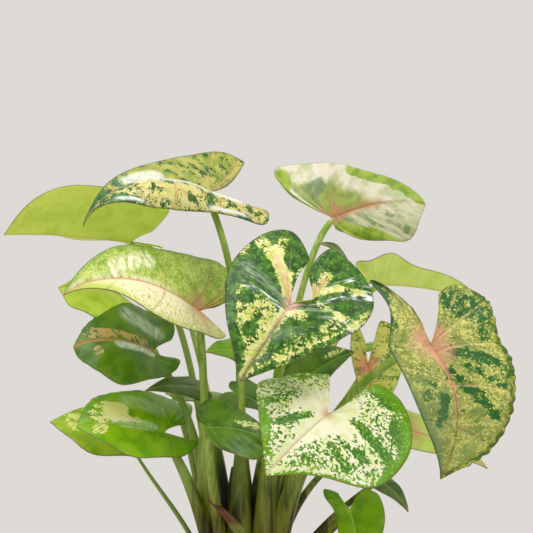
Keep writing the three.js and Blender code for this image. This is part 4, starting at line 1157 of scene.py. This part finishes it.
# %% The top left leaf's finish
def spotted_finish():
    f = BladeFinish("spotted_leaf")
    tan = f.two_tone((212, 200, 140), (190, 176, 104), 4.0)
    tan = f.mix(tan, (176, 128, 92), f.lateral.bell(1.8) * 0.55)
    tan = f.mix(tan, (202, 204, 104), f.speckle(0.9).ramp(0.5, 0.75) * 0.7)
    green = f.two_tone((28, 80, 30), (66, 116, 26), 3.0)
    spot = f.blocks(0.8, 4.4) + (f.speckle(0.8) - 0.5) * 0.22 - f.lateral.bell(1.4) * 0.1
    places = ((-12, 12, 3, 3.4), (-20, -16, 4, 6), (-18, 38, 4, 4), (-11, 27, 3, 4),
              (-16, 4, 5, 4), (-8, -21, 6, 5), (-20, 17, 3, 4), (-14, -8, 4, 4))
    spots = f.patches(*((*place, 0.16) for place in places)) + f.ahead.ramp(42, 54) * 0.156
    near = f.mix(tan, green, (spot + spots).ramp(0.575, 0.6))
    yellow = f.two_tone((176, 174, 84), (138, 152, 50), 5.0)
    yellow = f.mix(yellow, (186, 160, 96), f.lateral.bell(2) * 0.5)
    dark = spot + f.patches((20, -8, 8, 9, 0.1), (12, 4, 4, 4, 0.08))
    far = f.mix(yellow, green, (dark + f.ahead.ramp(40, 56) * 0.2).ramp(0.59, 0.62))
    colour = f.mix(near, far, f.right)
    colour = f.mix(colour, (48, 96, 34), f.inset.bell(1.4) * 0.6)
    crest = f.left * (f.across + 6).bell(5.5) * (1 - f.ahead.ramp(30, 48))
    crest = crest + f.stripes((3, 42, 5, 28, 6.5, 0.7)) * f.right
    low_edge = (f.inset - 2.5).bell(1.8) * f.left
    low_edge = low_edge * f.patches((-20, -6, 14, 16, 1), (-16, 52, 9, 9, 1))
    glare = (crest + low_edge) * f.noise(f.place, 4.0).ramp(0.05, 0.5) * 0.92
    return f.finished(colour, (172, 120, 88), rib_width=0.7, rib_reach=100, glow=5, lines=0.1,
                      rough=0.36, ridge=0.2, edge=(50, 60, 30), shine=0.1, glare=glare)


ready("spotted", spotted_finish())

# %% [markdown]
# ### The rolled leaf
# Cream with a brown-pink midrib, greyer on its right half, and olive margins. Soft clouds move
# the borders between its paints, because hard borders would look cut out of paper.

# %% The rolled leaf's finish
def rolled_finish():
    f = BladeFinish("rolled_leaf")
    cream = f.two_tone((212, 204, 184), (176, 182, 136), 7.0)
    grey = f.two_tone((172, 174, 128), (120, 140, 86), 5.0, 0.4, 0.6)
    lit = f.streaks(4, 0.1).ramp(0.35, 0.65)
    right_half = f.mix(grey, (194, 190, 160), lit * f.ahead.ramp(-6, 14))
    olive = f.two_tone((152, 162, 78), (128, 146, 68), 5.0)
    cloud = (f.noise(f.place, 5.0) - 0.5) * 1.4
    inner = (f.inset + cloud * 5).ramp(9, 17)
    left_half = f.mix(cream, olive, inner * (1 - f.ahead.ramp(18, 34)))
    shadow = (f.patches((-21, -11, 10, 9, 1)) + cloud).ramp(0.3, 1.1)
    left_half = f.mix(left_half, (84, 116, 84), shadow * 0.7)
    colour = f.mix(right_half, left_half, f.left)
    green = f.two_tone((150, 170, 58), (118, 146, 36), 6.0)
    rim = f.left * f.number.ramp(4.2, 4.6) * (1 - (f.inset - cloud * 3).ramp(3, 5.5))
    rim = rim + f.patches((-23, -36, 15, 11, 0.8)) + f.left * (1 - f.number.ramp(1.4, 1.9)) * 0.5
    rim = rim.ramp(0.25, 0.6)
    fold = f.right * (4.35 - f.number).ramp(-0.1, 0.1) * (9 + f.ahead * 0.1 - f.inset).ramp(0, 0.8)
    colour = f.mix(colour, green, rim.maths("MAXIMUM", rim, fold))
    rose = f.midrib.bell(7) * 0.8 + f.lateral.bell(4) * f.left * (1 - f.junction.ramp(8, 24)) * 0.7
    rose = rose * (1 - f.ahead.ramp(24, 40)) + (1 - f.junction.ramp(2, 12)) * 0.4
    rose = (rose * f.noise(f.place, 4.0)).ramp(0.05, 0.6)
    colour = f.mix(colour, (176, 128, 92), rose * 0.9)
    return f.finished(colour, (178, 116, 86), rib_width=0.5, rib_reach=46, glow=4, lines=0.0,
                      rough=0.36, ridge=0.08, edge=(112, 132, 60))


ready("rolled", rolled_finish())

# %% [markdown]
# ### The plainer leaves
# The leaves behind and below are green with a few pale flecks, and their undersides are paler
# still, with a painted glow that stands in for the light that comes through. They differ in
# colour alone, so one function with many defaults paints them all.

# %% The plainer leaves' finishes
PATCH_STRENGTH = 0.26


def green_finish(name, green, second, fleck, fleck_share, rib, rib_width=0.45, rough=0.38,
                 edge=(90, 84, 40), dark=None, dark_share=0.0, lines=0.2, glow=4, shine=0.05,
                 patches=(), glow_through=(0, 0, 0), sheens=()):
    """Green with pale flecks, dark blotches, named pale patches and glare along stripes."""
    f = BladeFinish(name)
    colour = f.two_tone(green, second, 9.0)
    drive = f.streaks(9, 0.25) * 0.55 + f.blocks(0.9, 3.5) * 0.45 + (f.speckle(0.8) - 0.5) * 0.1
    drive = drive + f.patches(*((*patch, PATCH_STRENGTH) for patch in patches))
    colour = f.mix(colour, fleck, drive.ramp(0.84 - fleck_share, 0.88 - fleck_share))
    if dark:
        blotch = f.blocks(1.0, 5.0) * 0.8 + f.speckle(0.8) * 0.2 - f.midrib.bell(3) * 0.2
        colour = f.mix(colour, dark, blotch.ramp(1.0 - dark_share, 1.05 - dark_share))
    glare = f.stripes(*sheens) * f.streaks(10, 0.14).ramp(0.2, 0.6) if sheens else None
    return f.finished(colour, rib, rib_width, 90, glow, lines, rough, edge=edge, shine=shine,
                      glare=glare, glow_through=glow_through)


ready("light", green_finish("light_leaf", (210, 232, 96), (186, 214, 70), (222, 228, 140), 0.16,
                            (196, 178, 84)))
ready("fresh", green_finish("fresh_leaf", (184, 208, 96), (160, 190, 66), (214, 222, 140), 0.18,
                            (206, 212, 120)))
ready("rosy", green_finish("rosy_leaf", (178, 200, 90), (170, 184, 84), (214, 180, 140), 0.2,
                           (196, 138, 112), 0.8, glow=17))
ready("bright", green_finish(
    "bright_leaf", (130, 172, 4), (98, 150, 0), (222, 222, 150), 0.12, (150, 190, 50),
    patches=((7, 30, 11, 14), (9, 25, 9, 10), (-4, 35, 7, 6), (3, 19, 3, 10)),
    sheens=((1.5, 5, 2, 28, 2.4, 0.4), (14, 2, 16, 18, 7, 0.3), (-2, 8, -2, 24, 2, 0.3))))
ready("plain", green_finish("plain_leaf", (118, 160, 4), (92, 142, 0), (222, 222, 150), 0.12,
                            (150, 190, 50), patches=((8, 20, 7, 10),)))
ready("pale", green_finish("pale_leaf", (160, 186, 50), (132, 166, 30), (218, 220, 130), 0.16,
                           (176, 200, 90), patches=((0, 30, 10, 10),)))
ready("deep", green_finish(
    "deep_leaf", (88, 126, 0), (62, 106, 0), (182, 154, 96), 0.1, (176, 138, 92), 1.6, shine=0.1,
    lines=0.0, edge=(60, 90, 20),
    patches=((3.5, 9, 4.5, 12), (4, 22, 4.5, 12), (4, 33, 6, 9), (-8, 34, 7, 4)),
    sheens=((-2, 3, -3, 22, 4, 0.65), (15, -4, 19, 12, 8, 0.45))))
ready("shaded", green_finish("shaded_leaf", (84, 124, 6), (56, 98, 0), (206, 214, 130), 0.12,
                             (110, 150, 40), edge=(130, 70, 50), shine=0.1,
                             patches=((-4, 22, 3, 11),)))
ready("grey", green_finish("grey_leaf", (80, 108, 40), (56, 86, 26), (166, 158, 100), 0.2,
                           (130, 140, 90), shine=0.1))
ready("yellow", green_finish("yellow_leaf", (198, 192, 96), (170, 174, 74), (214, 190, 120), 0.2,
                             (194, 116, 92), 0.8, glow=11, dark=(60, 118, 40), dark_share=0.46))
# The undersides carry a painted glow: an emission that stands in for light coming through the
# blade.
ready("underside", green_finish("leaf_underside", (206, 214, 106), (190, 202, 86),
                                (210, 208, 120), 0.15, (206, 180, 96), rough=0.55, shine=0.0,
                                glow_through=(64, 84, 12)))
ready("pale_under", green_finish("pale_leaf_underside", (220, 228, 146), (204, 218, 122),
                                 (214, 226, 150), 0.15, (210, 206, 120), rough=0.55, shine=0.0,
                                 glow_through=(74, 90, 20)))

# %% [markdown]
# ### Stalks, stems, sheath, soil and pot
# Stalks are fresh green under the blades and olive to brown in the crown, and a painted shade
# darkens them in the crown's middle, where they crowd, so their paint reads the height and the
# distance from the crown's middle.
# The rest are two colours with a cloud between them.

# %% Stalk, stem, sheath, soil and pot finishes
def stalk_finish():
    """Green stalks, olive in the crown, brown low down, and a painted shade where they crowd
    together.
    """
    f = Finish("stalk")
    place = f.object_place()
    x, y, z = f.parts(place)
    height = z / MM
    aside, behind = x / MM - CROWN[0], y / MM - CROWN[1]
    out = (aside * aside + behind * behind) ** 0.5
    long_place = f.point(x / MM, y / MM, height * 0.02)
    streak = f.noise(long_place, 1.6)
    wide = f.noise(long_place, 5.0, 1.0)
    cloud = f.noise(place, 14 * MM)
    grain = streak * 0.3 + wide * 0.7
    fresh = f.mix((124, 156, 50), (164, 186, 92), streak.ramp(0.35, 0.65))
    olive = f.mix((58, 68, 0), (124, 132, 36), grain.ramp(0.4, 0.6))
    brown = f.mix((52, 34, 6), (110, 96, 30), grain.ramp(0.4, 0.62))
    colour = f.mix(olive, fresh, (height + cloud * 24).ramp(148, 180))
    low = (height + (cloud - 0.5) * 40 + (wide - 0.5) * 60 + out.ramp(24, 40) * 40).ramp(112, 142)
    colour = f.mix(brown, colour, low)
    # Painted shade: dark brown in the crown's middle below the blades, where the stalks shade each
    # other.
    painted_crown_shade = (1 - out.ramp(10, 22)) * (1 - height.ramp(150, 185))
    colour = f.mix(colour, (40, 34, 6), painted_crown_shade * 0.9)
    colour = f.mix(colour, (136, 158, 78), (0 - aside).ramp(23, 31))
    return f.surface(Base_Color=colour, Roughness=0.42, Normal=f.bump(streak * 0.15),
                     Specular_IOR_Level=0.3, Subsurface_Weight=0.15,
                     Subsurface_Radius=LEAF_SCATTER, Subsurface_Scale=0.001)


def cloudy_finish(name, colour, other, size, rough, bumps=0.0):
    f = Finish(name)
    cloud = f.noise(f.object_place(), size * MM, 3.0)
    return f.surface(Base_Color=f.mix(colour, other, cloud.ramp(0.35, 0.7)),
                     Roughness=rough, Normal=f.bump(cloud * bumps))


def sheath_finish():
    """Brown and papery above, still green where it leaves the crown."""
    f = Finish("old_sheath")
    x, y, z = f.parts(f.object_place())
    fibres = f.noise(f.point((x + z) / MM, y / MM, 0), 1.2)
    brown = f.mix((66, 38, 20), (126, 84, 56), fibres.ramp(0.35, 0.65))
    green = f.mix((98, 104, 22), (136, 144, 62), fibres.ramp(0.35, 0.65))
    colour = f.mix(green, brown, (z / MM + fibres * 3).ramp(132, 135))
    return f.surface(Base_Color=colour, Roughness=0.8, Normal=f.bump(fibres * 0.4))


EDGE_FINISH = cloudy_finish("leaf_edge", (150, 140, 80), (120, 96, 60), 2.0, 0.5)
STALK_FINISH = stalk_finish()
STEM_FINISH = cloudy_finish("stem", (44, 32, 12), (74, 62, 24), 6.0, 0.6, 0.4)
SHEATH_FINISH = sheath_finish()
POT_FINISH = cloudy_finish("pot_plastic", (168, 96, 63), (160, 90, 58), 20.0, 0.55, 0.02)
SOIL_FINISH = cloudy_finish("potting_soil", (62, 46, 34), (34, 24, 18), 1.2, 0.95, 0.6)
print("materials:", len(bpy.data.materials))

# %% [markdown]
# ## Growing the leaves
# Each leaf gets its paint, its swelling between the veins on each half, and its teeth, as
# half, first vein, last vein, depth and number for each vein. A blade and its stalk stay two
# pieces, because their finishes differ, and both dress the same solid.

# %% Each leaf's look
LOOKS = {
    "front_mottled_leaf": dict(finish="mottled", quilt=(1.0, 0.45),
                               teeth=((0, 4.4, 6.9, 0.5, 6), (1, 5.6, 6.9, 0.25, 6))),
    "low_cream_leaf": dict(finish="cream", quilt=(0.5, 0.5), teeth=((1, 3.6, 6.8, 0.2, 5),)),
    "right_olive_leaf": dict(finish="olive", quilt=(0.5, 0.3), teeth=((0, 2.6, 6.8, 1.3, 5),)),
    "left_cream_leaf": dict(finish="half_cream", quilt=(0.5, 0.4),
                            teeth=((0, 2.4, 6.8, 0.5, 5), (1, 3.0, 6.5, 0.3, 3))),
    "top_spotted_leaf": dict(finish="spotted", quilt=(0.5, 0.3), teeth=((0, 1.6, 6.8, 0.5, 5),)),
    "far_left_leaf": dict(finish="light", quilt=(0.2, 0.2)),
    "top_rolled_leaf": dict(finish="rolled", quilt=(0.2, 0.1),
                            teeth=((0, 2.0, 5.5, 0.4, 4), (1, 3.0, 6.5, 0.3, 4))),
    "right_back_leaf": dict(finish="fresh", under="pale_under"),
    "left_dark_leaf": dict(finish="deep", quilt=(0.7, 0.5),
                           teeth=((0, 2, 6.8, 0.4, 2), (1, 2, 6.8, 0.4, 3))),
    "low_left_leaf": dict(finish="bright", quilt=(0.5, 0.6),
                          teeth=((0, 2.2, 6.8, 0.6, 4), (1, 2.2, 6.8, 0.5, 3))),
    "low_left_back_leaf": dict(finish="pale", teeth=((0, 3, 6.8, 0.5, 3),)),
    "small_grey_leaf": dict(finish="grey"),
    "centre_dark_leaf": dict(finish="shaded", quilt=(0.6, 0.6)),
    "back_left_leaf": dict(finish="light"),
    "shaded_leaf": dict(finish="shaded"),
    "pink_back_leaf": dict(finish="yellow"),
    "low_right_young_leaf": dict(finish="grey"),
    "right_low_back_leaf": dict(finish="rosy", under="pale_under"),
    "curled_young_leaf": dict(finish="grey"),
    "inner_dark_leaf": dict(finish="shaded"),
}
PLAIN_LOOK = dict(finish="plain")
print("leaves with a look of their own:", len(LOOKS))


def dressed(piece, node):
    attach(piece, "root")
    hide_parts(node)


for seed, leaf in enumerate(LEAVES):
    name = leaf["name"]
    look = LOOKS.get(name, PLAIN_LOOK)
    finishes = (FINISHES[look["finish"]], FINISHES[look.get("under", "underside")], EDGE_FINISH)
    dressed(blade_object(leaf, look, finishes, seed), name)
    dressed(stalk_object(leaf, STALK_FINISH), name)
print("leaves grown:", len(LEAVES))

# %% [markdown]
# ## Stems and the withered sheath
# Two short brown stems stand in the middle of the crown, and the dry sheath of an old leaf
# leans out to the left. They are lines with girths like the stalks, so the same skin serves.

# %% Stems and the withered sheath
STEMS = [
    ("left_stem", (-1, -1), (-6, -3, 115), (-7, -3, 135), (-8, -3, 156)),
    ("right_stem", (-1, 1), (6, -2.5, 112), (7.5, -2, 125), (9, -1, 140)),
]
STEM_GIRTH = 3.5
STEM_SWELL = 2.2
STEM_TAPER = 0.75
OLD_SHEATH_GIRTH = 2.5
OLD_SHEATH_LINE = ((0, -20.5, SOIL_TOP - FOOT_DEPTH), (4, -20.5, 112), (1, -21, 127),
                   (-20.5, -21, 143.5))

share = np.linspace(0, 1, 40)
for name, foot, rise, reach, top in STEMS:
    line = bezier(((*foot_place(foot), SOIL_TOP - FOOT_DEPTH), rise, reach, top), share)
    girths = (STEM_GIRTH + STEM_SWELL * smooth_ramp(share * 3)) * (1 - STEM_TAPER * share**4)
    dressed(skin(name, line, girths, STEM_FINISH), name)
girths = OLD_SHEATH_GIRTH * (1 + 0.35 * np.sin(math.pi * share) - 0.85 * share**5)
old_sheath = skin("old_leaf_sheath", bezier(OLD_SHEATH_LINE, share), girths, SHEATH_FINISH)
dressed(old_sheath, "old_leaf_sheath")
print("stems:", [stem[0] for stem in STEMS])

# %% [markdown]
# ## The pot
# A nursery pot is moulded in thin plastic, with a band round its mouth and holes in its floor.
# It is a turned form, so a profile is spun round its axis, and cylinders cut the holes out.

# %% A turned form
TURNED_SIDES = 160
SHARP_ANGLE = math.radians(50)


def turned(name, profile, material, sides=TURNED_SIDES):
    """A closed form turned round the upright axis from a profile that starts and ends on it."""
    ring = len(profile) - 2
    points, faces = [], []
    for side in range(sides):
        angle = 2 * math.pi * side / sides
        points += [(r * math.cos(angle) * MM, r * math.sin(angle) * MM, z * MM)
                   for r, z in profile[1:-1]]
    bottom, top = len(points), len(points) + 1
    points += [(0, 0, profile[0][1] * MM), (0, 0, profile[-1][1] * MM)]
    for side in range(sides):
        a, b = side * ring, (side + 1) % sides * ring
        faces += [(a + k, b + k, b + k + 1, a + k + 1) for k in range(ring - 1)]
        faces += [(bottom, b, a), (top, a + ring - 1, b + ring - 1)]
    mesh = bpy.data.meshes.new(name)
    mesh.from_pydata(points, [], faces)
    mesh.materials.append(material)
    mesh.polygons.foreach_set("use_smooth", [True] * len(faces))
    mesh.set_sharp_from_angle(angle=SHARP_ANGLE)
    return placed(name, mesh)


print("sides of a turned form:", TURNED_SIDES)

# %% The pot
POT_HEIGHT = 100
MOUTH_RADIUS = 60
FOOT_RADIUS = 43
POT_WALL = 2.5
POT_FLOOR = 3
RIM_HEIGHT = 15
RIM_STEP = 2.5
DRAIN_COUNT = 6
DRAIN_RADIUS = 4
DRAIN_RING = 27
DRAIN_SIDES = 32


def wall_radius(z):
    return FOOT_RADIUS + (MOUTH_RADIUS - RIM_STEP - FOOT_RADIUS) * z / POT_HEIGHT


rim_foot = POT_HEIGHT - RIM_HEIGHT
below_rim = wall_radius(rim_foot)
pot_profile = [
    (0, 0), (FOOT_RADIUS - 2, 0), (FOOT_RADIUS - 0.6, 0.4), (wall_radius(1.5), 1.5),
    (below_rim, rim_foot), (below_rim + RIM_STEP - 0.4, rim_foot + 0.3),
    (below_rim + RIM_STEP, rim_foot + 1), (MOUTH_RADIUS, POT_HEIGHT - 1),
    (MOUTH_RADIUS - 0.4, POT_HEIGHT - 0.2), (MOUTH_RADIUS - 1, POT_HEIGHT),
    (MOUTH_RADIUS - RIM_STEP - POT_WALL + 1, POT_HEIGHT),
    (wall_radius(POT_HEIGHT - 1) - POT_WALL, POT_HEIGHT - 1),
    (wall_radius(POT_FLOOR) - POT_WALL, POT_FLOOR), (0, POT_FLOOR)]
pot = turned("pot", pot_profile, POT_FINISH)
bore = [(0, -POT_FLOOR), (DRAIN_RADIUS, -POT_FLOOR), (DRAIN_RADIUS, 2 * POT_FLOOR),
        (0, 2 * POT_FLOOR)]
cutters = []
for index in range(DRAIN_COUNT):
    angle = 2 * math.pi * (index + 0.5) / DRAIN_COUNT
    place = (DRAIN_RING * math.cos(angle) * MM, DRAIN_RING * math.sin(angle) * MM, 0)
    cutter = turned("drain_cutter", bore, POT_FINISH, DRAIN_SIDES)
    cutter.data.transform(Matrix.Translation(place))
    cut = pot.modifiers.new("drain_hole", "BOOLEAN")
    cut.object = cutter
    cutters.append(cutter)
dressed(settled(pot), "pot")
for cutter in cutters:
    bpy.data.objects.remove(cutter)
print("drain holes:", DRAIN_COUNT)

# %% [markdown]
# ## The soil
# The soil is one turned dome. Potting mix is loose, and relief in the paint alone would leave
# its outline smooth, so a small node group scatters crumbs over its top: points on the faces
# that look up, and a rough ball of a random size on each.

# %% The soil and its crumbs
CRUMBS_PER_SQUARE_METRE = 130000.0
CRUMB_SIZE = 1.1
CRUMB_SEED = 3
LEVEL_ENOUGH = 0.9
FULL_TURN = 6.28
SMALLEST_CRUMB = (0.4, 0.4, 0.3)
LARGEST_CRUMB = (1.5, 1.3, 0.9)
SOIL_GAP = 0.3
SOIL_FOOT = 4
DOME_STEPS = 24


def crumb_growth():
    group = Growth("crumbs_on_top", {"Ground": "Geometry", "Per Square Metre": "Float",
                                     "Size": "Float", "Finish": "Material"})
    ground = group.given["Ground"]
    facing = group.node("GeometryNodeInputNormal", None, None, "Normal")
    upward = group.node("ShaderNodeSeparateXYZ", None, {0: facing}, "Z")
    on_top = group.node("FunctionNodeCompare", {"operation": "GREATER_THAN"},
                        {0: upward, 1: LEVEL_ENOUGH}, "Result")
    points = group.node("GeometryNodeDistributePointsOnFaces", None,
                        {"Mesh": ground, "Selection": on_top, "Seed": CRUMB_SEED,
                         "Density": group.given["Per Square Metre"]}, "Points")
    ball = group.node("GeometryNodeMeshIcoSphere", None,
                      {"Radius": group.given["Size"], "Subdivisions": 2}, "Mesh")
    turn, stretch = (
        group.node("FunctionNodeRandomValue", {"data_type": "FLOAT_VECTOR"}, {0: least, 1: most})
        for least, most in (((0, 0, 0), (FULL_TURN,) * 3), (SMALLEST_CRUMB, LARGEST_CRUMB)))
    crumbs = group.node("GeometryNodeInstanceOnPoints", None,
                        {"Points": points, "Instance": ball, "Rotation": turn, "Scale": stretch})
    both = group.node("GeometryNodeJoinGeometry", None, {"Geometry": [crumbs, ground]})
    return group.ended("Soil", both)


def inner_radius(z):
    return wall_radius(z) - POT_WALL - SOIL_GAP


soil_edge = inner_radius(SOIL_TOP)
dome = [(soil_edge * (1 - k / DOME_STEPS), SOIL_TOP + SOIL_DOME * smooth_ramp(k / DOME_STEPS))
        for k in range(1, DOME_STEPS)]
soil_profile = [(0, SOIL_FOOT), (inner_radius(SOIL_FOOT), SOIL_FOOT), (soil_edge, SOIL_TOP - 1),
                *dome, (0, SOIL_TOP + SOIL_DOME)]
soil = crumb_growth().grown(
    turned("soil", soil_profile, SOIL_FINISH), Per_Square_Metre=CRUMBS_PER_SQUARE_METRE,
    Size=CRUMB_SIZE * MM, Finish=SOIL_FINISH)
dressed(soil, "soil")
print("faces of the soil with its crumbs:", len(soil.data.polygons))

# %% [markdown]
# ## Sizes and the end
# The dressed plant has to keep the size of the solids.
